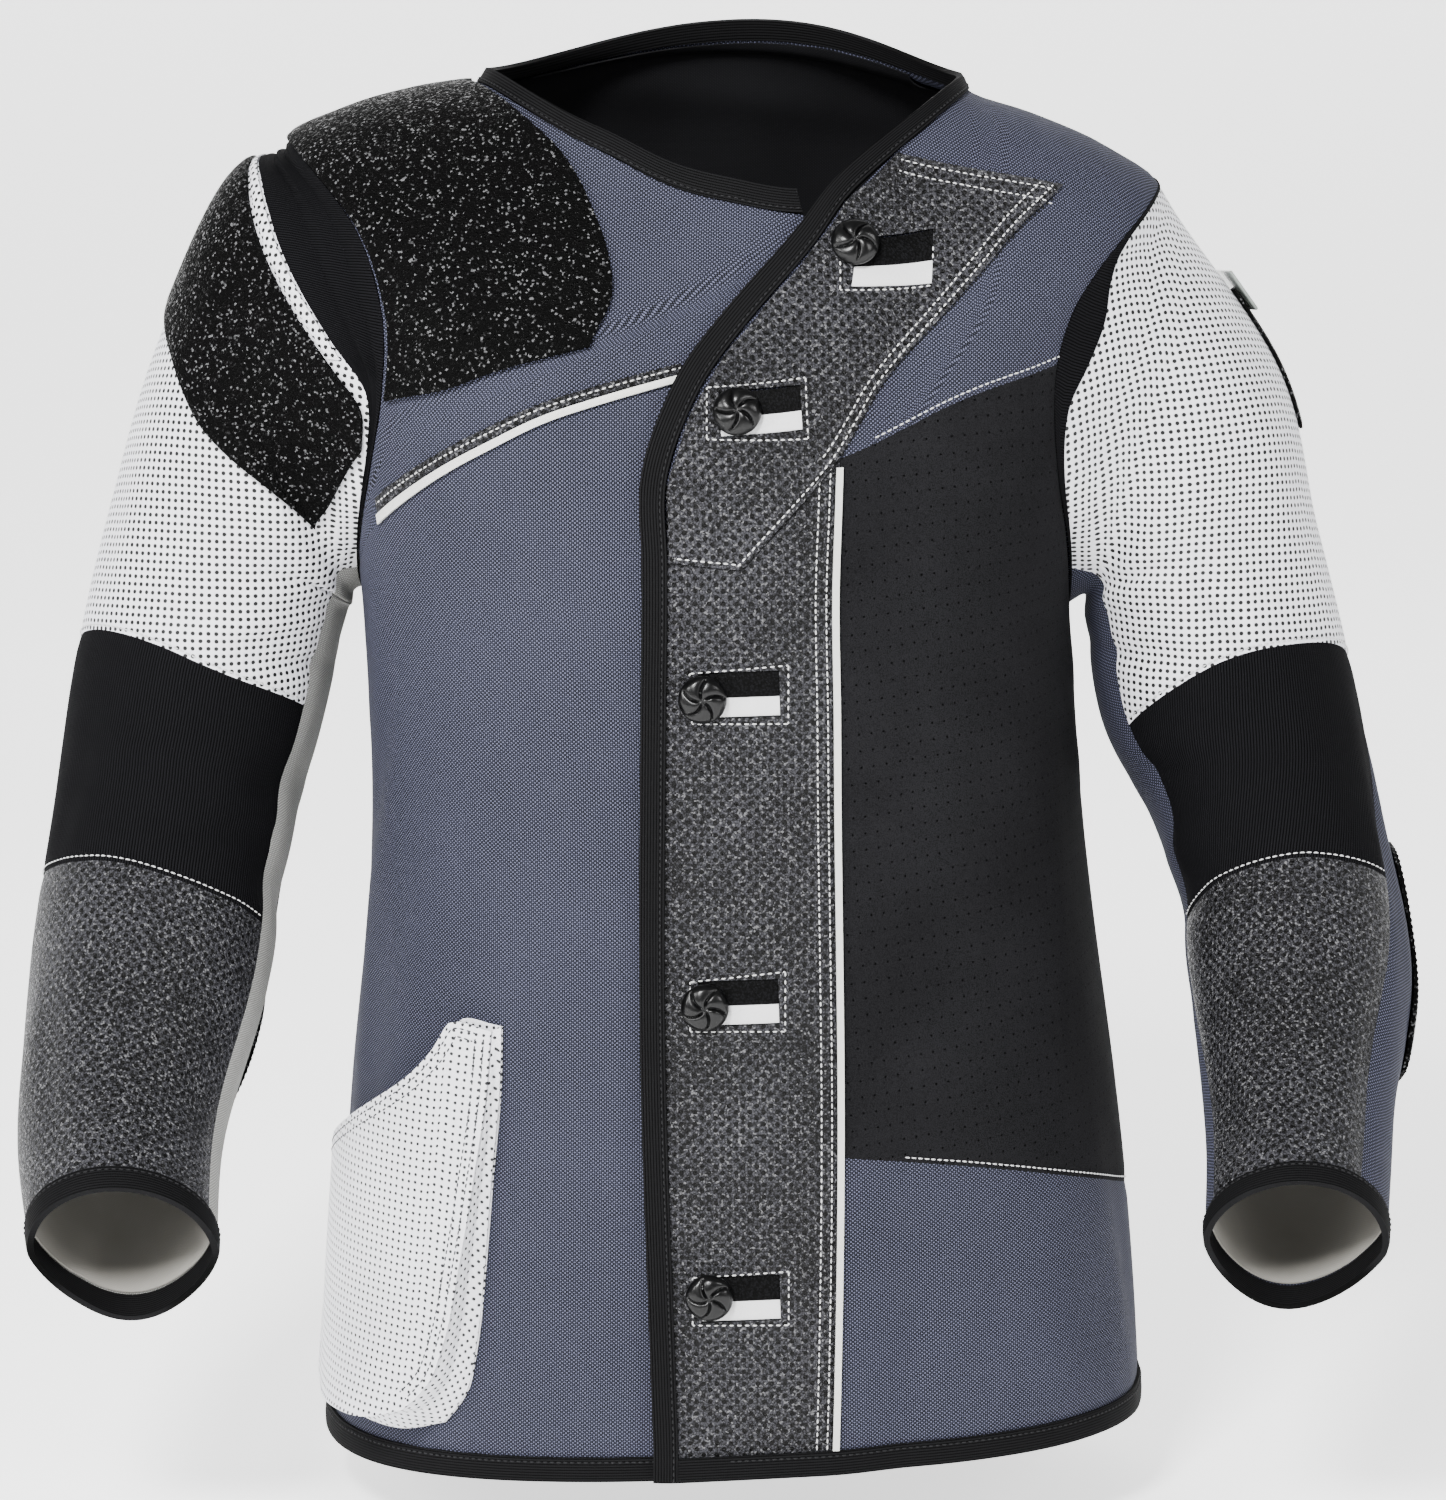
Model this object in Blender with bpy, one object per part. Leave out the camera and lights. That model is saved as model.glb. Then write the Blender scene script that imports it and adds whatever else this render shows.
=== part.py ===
"""A shooting jacket: canvas and leather panels over one torso form and two sleeve forms.

Sizes are in millimetres and are turned to metres as each mesh is made. The origin is the point
between the shoulders where the jacket rests on its wearer. -Y is the front, +X the wearer's left.
A place on the torso is (column, row): column -1 and 1 are the centre back, 0 the centre front and
-0.5 and 0.5 the side lines, and row is the height up the cloth from the hem. A place on a sleeve is
(turn, row): turn 0 is the front, 90 the outer side, 180 the back, and row runs down from the armhole.
"""
import math

import bmesh
import bpy
import numpy as np
from mathutils import Matrix, Vector
from mathutils.bvhtree import BVHTree

MM = 0.001
SEAM_GAP = 0.3
CLOTH = 1.6             # wall of canvas, leather and knit
TAPE_WIDTH = 12.0       # binding tape over an edge
TAPE_IN, TAPE_OUT = -2.2, 1.2
OVERLAY_GAP = 0.6       # under what lies on a panel
PAD_GAP = 0.65          # more under the wide rubber pads
REACH = 15.0            # how far off the form panels are looked for
COLUMN_MM = 560.0       # about the length of cloth in one column of the torso
TURN_MM = 1.05          # about the length of cloth in one degree of a sleeve
PATCH = 1.4             # leather laid on a panel
RUBBER = 2.4            # rubber pads
NECK_LINING = (-3.8, -3.0)  # inner and outer face of the linings
CUFF_LINING = (-3.0, -2.2)
LINING_ROWS = 9         # of the back's rows, from the neck down

# The hem is a little lower in the right front and higher in the left one
HEM_COLUMNS = ("column", "row")
HEM = (
    (-1.0, 0), (-0.5, 0), (-0.3, -4), (-0.1, -3), (0.08, 1.5), (0.3, 2.5), (0.5, 0), (1.0, 0), (1.5, 0),
)
HEM_BELOW = -12.0       # the torso form starts this far under the hem

# The left front lies on the right front as far as UNDERLAP, raised by LAP, and comes down to the form
# between LAP_START and LAP_END from the centre
LAP, LAP_START, LAP_END, UNDERLAP = 4.8, 45.0, 95.0, 30.0

# Rings of the torso: half widths, depths and heights. square is how square the ring is, and drop how
# quickly its height runs from the middle to the sides
TORSO_COLUMNS = (
    "row", "right", "left", "front", "back", "z_front", "z_right", "z_left", "z_back", "square", "drop",
)
TORSO = (
    (-12, 207, 213, 142, 138, -683, -691, -680, -684, 2.50, 2.4),
    (0,   206, 212, 142, 138, -671, -678, -668, -672, 2.50, 2.4),
    (60,  200, 208, 142, 137, -610, -614, -608, -610, 2.40, 2.4),
    (170, 191, 197, 142, 132, -497, -498, -498, -498, 2.35, 2.4),
    (270, 181, 183, 142, 126, -396, -398, -398, -398, 2.35, 2.4),
    (320, 179, 177, 143, 122, -345, -345, -348, -348, 2.35, 2.4),
    (370, 181, 174, 145, 122, -295, -290, -298, -296, 2.35, 2.4),
    (425, 186, 172, 146, 126, -240, -228, -238, -236, 2.35, 2.4),
    (470, 200, 188, 144, 130, -195, -154, -168, -160, 2.30, 2.4),
    (510, 216, 204, 138, 128, -155, -80,  -96,  -85,  2.25, 2.4),
    (535, 221, 217, 130, 118, -130, -36,  -57,  -41,  2.20, 2.4),
    (560, 188, 187, 120, 104, -105, -17,  -33,  -9,   2.15, 2.6),
    (585, 153, 151, 110, 92,  -80,  -7,   -17,  13,   2.10, 2.7),
    (608, 122, 119, 100, 84,  -57,  -1,   -6,   18,   2.10, 2.8),
    (620, 118, 115, 96,  81,  -46,  6,    1,    28,   2.10, 2.8),
    (632, 114, 111, 92,  78,  -35,  13,   8,    38,   2.10, 2.8),
)
# Rings of the sleeves: middle, lean outwards and forwards in degrees, half width and half depth.
# pinch narrows the back of the ring
SLEEVE_COLUMNS = ("row", "x", "y", "z", "lean", "reach", "wide", "deep", "pinch")
RIGHT_SLEEVE = (
    (35,  217, 2,    -153, 74, 0,  106, 68, 0.00),
    (80,  236, 4,    -194, 55, 3,  82,  69, 0.00),
    (140, 251, 4,    -240, 25, 7,  65,  66, 0.00),
    (210, 265, -2,   -300, 12, 13, 64,  63, 0.00),
    (290, 278, -26,  -370, 8,  22, 60,  60, 0.00),
    (370, 287, -64,  -440, 4,  34, 59,  57, 0.00),
    (450, 295, -116, -502, 1,  46, 51,  51, 0.05),
    (540, 286, -186, -553, 0,  55, 44,  40, 0.28),
)
LEFT_SLEEVE = (
    (35,  201, 2,    -162, 77, 0,  97,  68, 0.00),
    (80,  226, 4,    -202, 54, 3,  79,  69, 0.00),
    (140, 238, 4,    -247, 24, 7,  63,  66, 0.00),
    (210, 251, -2,   -306, 14, 13, 64,  63, 0.00),
    (290, 274, -26,  -376, 10, 22, 55,  60, 0.00),
    (370, 284, -64,  -444, 4,  34, 55,  57, 0.00),
    (450, 278, -116, -504, -2, 46, 46,  51, 0.05),
    (540, 268, -186, -548, -4, 55, 43,  39, 0.28),
)

# The armhole on the torso, round from the underarm by the front, the shoulder and the back.
# side is 1 on the side line, less in front of it and more behind it
ARMHOLE_COLUMNS = ("turn", "side", "row")
RIGHT_ARMHOLE = (
    (-90, 1.00, 405), (-60, 0.90, 416), (-30, 0.73, 448), (0, 0.63, 483), (30, 0.605, 512), (60, 0.68, 534),
    (90, 1.00, 541), (120, 1.17, 536), (150, 1.26, 518), (180, 1.30, 490), (210, 1.26, 450), (240, 1.12, 416),
    (270, 1.00, 405),
)
LEFT_ARMHOLE = (
    (-90, 1.00, 405), (-60, 0.86, 424), (-30, 0.69, 454), (0, 0.62, 485), (30, 0.625, 510), (60, 0.71, 530),
    (90, 1.00, 542), (120, 1.17, 538), (150, 1.26, 522), (180, 1.30, 492), (210, 1.26, 452), (240, 1.12, 416),
    (270, 1.00, 405),
)
# Points round an armhole: even steps in front and over the tip to the outer seam, wider ones behind
ARMHOLE_TURNS = np.concatenate([np.arange(-90, 106, 15.0), np.linspace(105, 270, 8)[1:]])
YOKE_TURN, CHEST_TURN, TIP_TURN = -60.0, 15.0, 90.0

# How far down the sleeve the stretch gusset reaches at each turn
GUSSET_COLUMNS = ("turn", "row")
RIGHT_GUSSET = (
    (-90, 3), (-30, 3), (-5, 3), (13, 13), (31, 20), (60, 23), (88, 17), (150, 14), (210, 8), (240, 4), (270, 3),
)
LEFT_GUSSET = (
    (-90, 3), (-20, 3), (2, 6), (24, 13), (43, 10), (63, 4), (88, 3), (150, 12), (210, 8), (240, 4), (270, 3),
)
GUSSET_LEAST = 3.0
GUSSET_TUCK = 0.22      # how deep it tucks in, as a share of its width
GUSSET_PULL = 0.6       # its edges are drawn back more, as they meet the panels at an angle

# Front lines as (across, row): across is millimetres from the centre front
LINE_COLUMNS = ("across", "row")
RIGHT_NECK = ((36, 598), (-4, 610), (-38, 614), (-59, 616), (-102, 611))
RIGHT_NECK_END, LEFT_NECK_END = 606.0, 610.0
LEFT_EDGE = ((-29, 478), (-17, 514), (5, 547), (45, 586), (58, 596))
LEFT_EDGE_BOTTOM, PLACKET_SEAM, PLACKET_TOP = -24.0, 52.0, 488.0
RIGHT_PIPING = ((-206, 432), (-166, 451), (-120, 478), (-81, 502), (-31, 524), (30, 541))
SUEDE_TOP = ((52, 488), (107, 500))
PLACKET_BOW = 4.0       # how far the placket's seam bows out between its ends
SUEDE_BOTTOM = (156, (130, 145))     # the row at the seam, then a place on the front
SUEDE_SIDE = 108.0
FLAP_END, FLAP_INSET = (90, 604), 1.0
FLAP_RIGHT = ((6, 439), (52, 489), (80, 524), (140, 552), (184, 558))
# Back neck seam rows from the left shoulder round to the right one: it stands higher on the left
BACK_NECK = ((0.5, 610), (0.75, 613), (1.0, 608), (1.25, 604), (1.5, 606))

# Trim on the right piping seam: name, lower and upper edge from the seam, thickness and look
TRIM_START, TRIM_END = -192.0, -34.5
PIPING_HALF = 1.6
TRIMS = (
    ("right_piping", -PIPING_HALF, PIPING_HALF, 1.8, "piping"),
    ("right_seam_strip", 2.2, 6.8, 1.0, "charcoal leather"),
)

# Chest pad of the right shoulder, as the edges of one patch
PAD_BOTTOM = ((-180, 477), (-141, 495), (-109, 513), (-66, 534))
PAD_INNER = ((-66, 534), (-56, 556), (-58, 572), (-70, 591), (-92, 603), (-119, 605))
PAD_BACK_ROWS = (548.0, 598.0)
PAD_BACK = 1.16         # how far it goes over, as side is counted in the armhole tables
PAD_INSET = 0.009       # columns between the armhole and the pad

# Seams across the sleeves as (turn, row): side is -1 for the right sleeve and 1 for the left one
BAND_TOP = {
    -1: ((-60, 215), (-9, 207), (16, 200), (48, 197), (100, 204)),
    1: ((-58, 218), (-26, 204), (-4, 196), (41, 197), (100, 210)),
}
BAND_END = {
    -1: ((-66, 344), (-31, 339), (-4, 333), (17, 328), (45, 326), (100, 325)),
    1: ((-86, 330), (-45, 321), (-17, 318), (8, 318), (25, 321), (59, 327)),
}
# Sleeve seams as (row, turn)
INNER_SEAM = {
    -1: ((0, -60), (215, -60), (344, -66), (450, -72), (512, -70)),
    1: ((0, -60), (218, -58), (269, -62), (330, -86), (450, -76), (512, -74)),
}
OUTER_SEAM = {
    -1: ((0, 105), (204, 100), (325, 100), (512, 98)),
    1: ((0, 105), (210, 98), (327, 60), (400, 41), (512, 37)),
}
CUFF_SEAM, CUFF_EDGE, CUFF_TAPE, CUFF_SLANT = 512.0, 533.0, 14.0, 7.0
SLEEVE_CELLS = (7, 4, 5)    # rows of cells in the leather, the elbow band and the forearm
CUFF_LINING_ROWS = 4
# Elbow pad from one turn to another and from one row to another, drawn in at its waist and its ends
ELBOW_PAD = {-1: (104, 252, 222, 424), 1: (82, 236, 300, 412)}
ELBOW_PAD_WAIST, ELBOW_PAD_ENDS = 0.12, 0.22
SLEEVE_PAD_FAR = ((-36, 47), (-18, 66), (26, 84), (52, 78), (84, 72), (112, 66))
SLEEVE_PAD_INNER = ((-18, 6), (-33, 24))
SLEEVE_PAD_END = 112.0
EDGE_STRIP_WIDTH, EDGE_STRIP_START, EDGE_STRIP_TURN = 3.4, 0.6, 10.0

# Pocket on the right front: face, back piece and the bellows between them
POCKET_OUTER = ((-111, 216), (-112, 184), (-116, 144), (-120, 98), (-125, 57), (-130, 37), (-142, 22))
FACE_OUTER = ((-115, 214), (-115.5, 184), (-120, 144), (-125.5, 104), (-133, 62), (-139, 45), (-151, 31))
POCKET_LOW = ((-142, 22), (-166, 16), (-190, 16), (-215, 19), (-247, 24))
FACE_LOW = ((-151, 31), (-172, 24), (-195, 23), (-218, 23), (-247, 26))
POCKET_SIDE = ((-258, 134), (-258, 60), (-247, 24))
FACE_SIDE = ((-258, 134), (-258, 60), (-247, 26))
POCKET_MOUTH = ((-136, 216), (-141, 206), (-149, 195), (-158, 186), (-170, 177), (-194, 162), (-258, 134))
# How far the face stands off the back piece: at the top tab, low on the right, on the left, and more in
# the middle of the open edge
POCKET_TOP_STAND, POCKET_LOW_STAND, POCKET_LEFT_STAND, POCKET_MOUTH_STAND = 2.0, 19.0, 2.5, 11.0
POCKET_SPREAD = 1.3     # how soon the right side's stand is reached, going across
POCKET_WALL, POCKET_GAP, BELLOWS_GAP, BELLOWS_TUCK = 1.2, 0.2, 0.7, 5.0

BUTTON_RADIUS, BUTTON_HEIGHT = 11.5, 7.0
BUTTON_COLUMNS = ("across", "row", "hole_across", "hole_row", "hole_wide", "hole_high", "tilt")
BUTTONS = (
    (61,  577, 81, 565, 42, 19, -12),
    (4,   511, 15, 511, 38, 20, 3),
    (-12, 378, 5,  380, 38, 22, 2),
    (-11, 230, 5,  232, 38, 22, 2),
    (-9,  90,  6,  89,  38, 22, 2),
)
FLAP_BUTTONS = 2        # the first two go through the flap
BUTTON_BELLY = 0.3      # share of a button's height under its widest ring
LIP_WALL, LIP_SINK, DARK_SHARE = 1.0, 0.2, 0.56
CUTTER_BELOW, CUTTER_ABOVE = 3.0, 6.0

STRAP_TURN, STRAP_ROWS, STRAP_HALF, STRAP_WALL = 97.0, (60.0, 104.0), 13.0, 2.0
PLATE_WIDE, PLATE_LONG, PLATE_WALL, PLATE_GAP = 32.0, 24.0, 2.4, 0.6

# Large soft folds pressed into the forms: place, slant in degrees, length, width and depth
FOLD_COLUMNS = ("round", "row", "slant", "length", "width", "depth")
TORSO_FOLDS = (
    (-0.36, 250, 78, 240, 26, -2.5),
    (0.40, 300, 100, 260, 28, -2.5),
    (0.80, 260, 84, 330, 30, -4.0),
    (-0.82, 240, 97, 300, 32, -3.5),
    (0.98, 420, 92, 180, 26, -2.5),
    (0.30, 70, 80, 110, 24, 2.0),
    (-0.66, 120, 88, 150, 24, 3.0),
    (0.66, 110, 90, 160, 24, 3.0),
)
SLEEVE_FOLDS = (
    (-20, 160, 62, 130, 15, 2.2),
    (30, 150, 75, 120, 16, -1.8),
    (-66, 262, 8, 60, 16, -3.0),
    (-78, 318, -6, 60, 15, -3.0),
    (200, 240, 20, 90, 20, -3.0),
    (160, 330, -12, 90, 22, 3.0),
    (80, 410, 70, 120, 18, -1.6),
    (-40, 420, 82, 110, 18, 1.6),
)

# Linear colour and roughness of each material
LOOKS = {
    "canvas": ((0.100, 0.120, 0.190), 0.85),
    "pale canvas": ((0.480, 0.480, 0.465), 0.85),
    "charcoal leather": ((0.060, 0.061, 0.068), 0.45),
    "suede": ((0.017, 0.017, 0.018), 0.90),
    "white leather": ((0.720, 0.720, 0.740), 0.50),
    "knit": ((0.006, 0.006, 0.007), 0.90),
    "rubber": ((0.010, 0.010, 0.011), 0.70),
    "tape": ((0.010, 0.010, 0.011), 0.75),
    "lining": ((0.400, 0.390, 0.370), 0.80),
    "black lining": ((0.008, 0.008, 0.009), 0.80),
    "horn": ((0.012, 0.012, 0.014), 0.30),
    "piping": ((0.720, 0.720, 0.700), 0.45),
    "clear": ((0.350, 0.360, 0.340), 0.15),
}


def smooth(x, y, at):
    """A cubic curve through the points (x, y), read at the places in at."""
    x, y, at = np.asarray(x, float), np.asarray(y, float), np.asarray(at, float)
    wide = (-1,) + (1,) * (y.ndim - 1)
    step = np.diff(x)
    rise = np.diff(y, axis=0) / step.reshape(wide)
    slope = np.empty_like(y)
    before, after = step[:-1].reshape(wide), step[1:].reshape(wide)
    slope[1:-1] = (rise[:-1] * after + rise[1:] * before) / (before + after)
    slope[0], slope[-1] = rise[0], rise[-1]
    i = np.clip(np.searchsorted(x, at) - 1, 0, len(step) - 1)
    shape = at.shape + (1,) * (y.ndim - 1)
    h, t = step[i].reshape(shape), ((at - x[i]) / step[i]).reshape(shape)
    near = (1 + 2 * t) * (1 - t) ** 2 * y[i] + t * (1 - t) ** 2 * h * slope[i]
    return near + t * t * (3 - 2 * t) * y[i + 1] + t * t * (t - 1) * h * slope[i + 1]


def unit(vectors):
    return vectors / np.linalg.norm(vectors, axis=-1, keepdims=True)


def ease(share):
    """0 to 1 with level ends."""
    share = np.clip(share, 0, 1)
    return share * share * (3 - 2 * share)


class Form:
    """A smooth surface held as a lattice of points, read between them, with its outward normals."""

    def __init__(self, rows, columns, points, folds, round_mm, flipped=False):
        self.rows, self.columns, self.points, self.flipped = rows, columns, points, flipped
        self.round_mm = round_mm
        self.press(folds)
        self.normals = self.facing()

    def facing(self):
        """Outward normals of the lattice."""
        across = np.gradient(self.points, axis=1)
        across[:, 0] = across[:, -1] = (self.points[:, 1] - self.points[:, -2]) / 2
        normals = unit(np.cross(across, np.gradient(self.points, axis=0)))
        return -normals if self.flipped else normals

    def press(self, folds):
        """Moves the lattice in or out along each fold."""
        column, row = np.meshgrid(self.columns, self.rows)
        period = self.columns[-1] - self.columns[0]
        depth = np.zeros_like(column)
        for at, level, slant, length, width, deep in folds:
            apart = (column - at + period / 2) % period - period / 2
            c, s = math.cos(math.radians(slant)), math.sin(math.radians(slant))
            ahead = apart * self.round_mm * c + (row - level) * s
            aside = -apart * self.round_mm * s + (row - level) * c
            depth += deep * np.exp(-(aside / width) ** 2) * np.exp(-(ahead / (length / 2)) ** 4)
        self.points = self.points + self.facing() * depth[..., None]

    def read(self, lattice, spots):
        period = self.columns[-1] - self.columns[0]
        column = (spots[..., 0] - self.columns[0]) % period + self.columns[0]
        i = np.interp(spots[..., 1], self.rows, np.arange(len(self.rows)))
        j = np.interp(column, self.columns, np.arange(len(self.columns)))
        i0 = np.minimum(i.astype(int), len(self.rows) - 2)
        j0 = np.minimum(j.astype(int), len(self.columns) - 2)
        a, b = (i - i0)[..., None], (j - j0)[..., None]
        low = lattice[i0, j0] * (1 - b) + lattice[i0, j0 + 1] * b
        return low * (1 - a) + (lattice[i0 + 1, j0] * (1 - b) + lattice[i0 + 1, j0 + 1] * b) * a

    def at(self, spots, out=0.0):
        """Points this far out from the form."""
        spots = np.asarray(spots, float)
        return self.read(self.points, spots) + unit(self.read(self.normals, spots)) * np.asarray(out)[..., None]


def torso_form(rows=127, quarter=45, fine=160):
    """The body as rings from the hem to the neck, each quarter of a ring divided evenly."""
    table = np.array(TORSO, float)
    levels = np.linspace(HEM_BELOW, table[-1, 0], rows)
    size = dict(zip(TORSO_COLUMNS[1:], smooth(table[:, 0], table[:, 1:], levels).T))
    turn = np.linspace(-np.pi, np.pi, 4 * fine + 1)
    s, c = np.sin(turn), np.cos(turn)
    points, quarters = [], []
    for k in range(rows):
        power = 2 / size["square"][k]
        side = np.where(s < 0, size["right"][k], size["left"][k])
        deep = np.where(c > 0, -size["front"][k], size["back"][k])
        middle = np.where(c > 0, size["z_front"][k], size["z_back"][k])
        edge = np.where(s < 0, size["z_right"][k], size["z_left"][k])
        z = edge + (middle - edge) * np.abs(c) ** size["drop"][k]
        ring = np.stack([side * np.sign(s) * np.abs(s) ** power, deep * np.abs(c) ** power, z], axis=1)
        arc = np.concatenate([[0], np.cumsum(np.linalg.norm(np.diff(ring, axis=0), axis=1))])
        corner = arc[::fine]
        steps = [np.linspace(corner[q], corner[q + 1], quarter + 1)[:-1] for q in range(4)]
        want = np.concatenate(steps + [arc[-1:]])
        points.append(np.stack([np.interp(want, arc, ring[:, a]) for a in range(3)], axis=1))
        quarters.append(np.diff(corner))
    form = Form(levels, np.linspace(-1, 1, 4 * quarter + 1), np.array(points), TORSO_FOLDS, COLUMN_MM)
    form.quarters = np.array(quarters)
    return form


def sleeve_form(torso, side, rows=110, step=2.5):
    """A sleeve from its armhole on the torso down through its tilted rings."""
    turns = np.arange(-90, 270 + step, step)
    t = np.radians(turns)[:, None]
    rings, levels = [torso.at(armhole(side, turns))], [0.0]
    for row, x, y, z, lean, reach, wide, deep, pinch in RIGHT_SLEEVE if side < 0 else LEFT_SLEEVE:
        lean, reach = math.radians(lean), math.radians(reach)
        down = np.array([side * math.sin(lean), 0, -math.cos(lean)])
        outward = np.array([side * math.cos(lean), 0, math.sin(lean)])
        front = np.array([0, -math.cos(reach), 0]) - down * math.sin(reach)
        wide = wide * (1 - pinch * np.maximum(0, -np.cos(t)))
        rings.append(np.array([side * x, y, z]) + front * deep * np.cos(t) + outward * wide * np.sin(t))
        levels.append(row)
    at = np.linspace(0, levels[-1], rows)
    return Form(at, turns, smooth(levels, np.array(rings), at), SLEEVE_FOLDS, TURN_MM, flipped=side > 0)


def armhole(side, turns):
    """Places on the torso of the armhole's points at these turns."""
    table = np.array(RIGHT_ARMHOLE if side < 0 else LEFT_ARMHOLE, float)
    columns = side * smooth(table[:, 0], table[:, 1], turns) / 2
    return np.stack([columns, smooth(table[:, 0], table[:, 2], turns)], axis=-1)


def armhole_turns(start, end):
    """The turns of an armhole's points from start to end, as every seam on it uses them."""
    turns = np.concatenate([ARMHOLE_TURNS, ARMHOLE_TURNS[1:] + 360])
    return turns[(turns >= start) & (turns <= end)]


class Jacket:
    """The forms, and the lines on them that the pieces share."""

    def __init__(self):
        self.torso = torso_form()
        self.sleeves = {side: sleeve_form(self.torso, side) for side in (-1, 1)}
        self.mitres = [self.mitre(side) for side in (-1, 1)]

    def quarter(self, column, row):
        """Length of the quarter ring that a column lies in, at this row."""
        which = np.floor((np.asarray(column, float) + 1) * 2).astype(int) % 4
        torso = self.torso
        lengths = np.stack([np.interp(row, torso.rows, torso.quarters[:, q]) for q in range(4)], axis=-1)
        return np.take_along_axis(lengths, which[..., None], axis=-1)[..., 0]

    def front(self, line):
        """Places of (across, row) points of a front."""
        line = np.asarray(line, float)
        half = self.quarter(np.sign(line[..., 0]) * 0.25, line[..., 1])
        return np.stack([line[..., 0] / (2 * half), line[..., 1]], axis=-1)

    def across(self, spots):
        return spots[..., 0] * 2 * self.quarter(np.sign(spots[..., 0]) * 0.25, spots[..., 1])

    def lap(self, spots):
        """How far the left front stands off the form."""
        return LAP * (1 - ease((self.across(spots) - LAP_START) / (LAP_END - LAP_START)))

    def mitre(self, side):
        """Points of an armhole with the directions that halve the angle between torso and sleeve."""
        turns = armhole_turns(-90, 269)
        spots = armhole(side, turns)
        torso = unit(self.torso.read(self.torso.normals, spots))
        down = np.stack([turns, np.zeros_like(turns)], axis=-1)
        sleeve = unit(self.sleeves[side].read(self.sleeves[side].normals, down))
        half = unit(torso + sleeve)
        return self.torso.at(spots), half / np.sum(half * torso, axis=-1, keepdims=True)

    def gusset_edge(self, side, turns):
        table = np.array(RIGHT_GUSSET if side < 0 else LEFT_GUSSET, float)
        turns = (np.asarray(turns, float) + 90) % 360 - 90
        return np.maximum(smooth(table[:, 0], table[:, 1], turns), GUSSET_LEAST)


def curve(points, cells, round_mm):
    """A smooth line through a few places, divided evenly by its length."""
    points = np.asarray(points, float)
    length = np.hypot(*(np.diff(points, axis=0) * (round_mm, 1)).T)
    arc = np.concatenate([[0], np.cumsum(length)])
    return smooth(arc, points, np.linspace(0, arc[-1], cells + 1))


def join(*lines):
    """Lines end to end, each shared point once."""
    return np.concatenate([lines[0]] + [line[1:] for line in lines[1:]])


def hem_lines(start, end, cells):
    """The hem and the seam of its binding between two columns."""
    columns = np.linspace(start, end, cells + 1)
    rows = smooth(*np.array(HEM, float).T, columns)
    return np.stack([columns, rows], axis=-1), np.stack([columns, rows + TAPE_WIDTH], axis=-1)


def patch(bottom, top, left, right):
    """A grid of places between four edges that meet at their corners."""
    u = np.linspace(0, 1, len(bottom))[None, :, None]
    v = np.linspace(0, 1, len(left))[:, None, None]
    ruled = (1 - v) * bottom[None] + v * top[None] + (1 - u) * left[:, None] + u * right[:, None]
    corners = (1 - v) * ((1 - u) * bottom[0] + u * bottom[-1]) + v * ((1 - u) * top[0] + u * top[-1])
    return ruled - corners


def material(name):
    look = bpy.data.materials.get(name)
    if look is None:
        colour, rough = LOOKS[name]
        look = bpy.data.materials.new(name)
        look.use_nodes = True
        shader = look.node_tree.nodes["Principled BSDF"]
        shader.inputs["Base Color"].default_value = (*colour, 1)
        shader.inputs["Roughness"].default_value = rough
    return look


def add(name, mesh, look):
    """Puts a mesh in the jacket's collection as one of its pieces."""
    piece = bpy.data.objects.new(name, mesh)
    bpy.data.collections["shooting_jacket"].objects.link(piece)
    mesh.materials.append(material(look))
    return piece


def pulled_in(points, ring, pull):
    """The grid with its edges drawn back by this much."""
    points = points.copy()
    points[0] += unit(points[1] - points[0]) * pull
    points[-1] += unit(points[-2] - points[-1]) * pull
    if not ring:
        points[:, 0] += unit(points[:, 1] - points[:, 0]) * pull
        points[:, -1] += unit(points[:, -2] - points[:, -1]) * pull
    return points


def closed_sheet(name, outer, inner, ring=False):
    """The mesh between two grids of points in millimetres, its triangles turned outwards."""
    rows, columns = outer.shape[:2]
    o = np.arange(rows * columns).reshape(rows, columns)
    if ring:
        o = np.concatenate([o, o[:, :1]], axis=1)
    n = o + rows * columns
    strips = [
        (o[:-1, :-1], o[:-1, 1:], o[1:, 1:], o[1:, :-1]),
        (n[:-1, :-1], n[1:, :-1], n[1:, 1:], n[:-1, 1:]),
        (n[0, :-1], n[0, 1:], o[0, 1:], o[0, :-1]),
        (o[-1, :-1], o[-1, 1:], n[-1, 1:], n[-1, :-1]),
    ]
    if not ring:
        strips += [(o[:-1, 0], o[1:, 0], n[1:, 0], n[:-1, 0]), (o[1:, -1], o[:-1, -1], n[:-1, -1], n[1:, -1])]
    quads = np.concatenate([np.stack([corner.reshape(-1) for corner in strip], axis=1) for strip in strips])
    triangles = np.concatenate([quads[:, [0, 1, 2]], quads[:, [0, 2, 3]]])
    points = np.concatenate([outer.reshape(-1, 3), inner.reshape(-1, 3)]) * MM
    if np.linalg.det(points[triangles]).sum() < 0:
        triangles = triangles[:, ::-1]
    mesh = bpy.data.meshes.new(name)
    mesh.from_pydata(points.tolist(), [], triangles.tolist())
    return mesh


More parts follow.
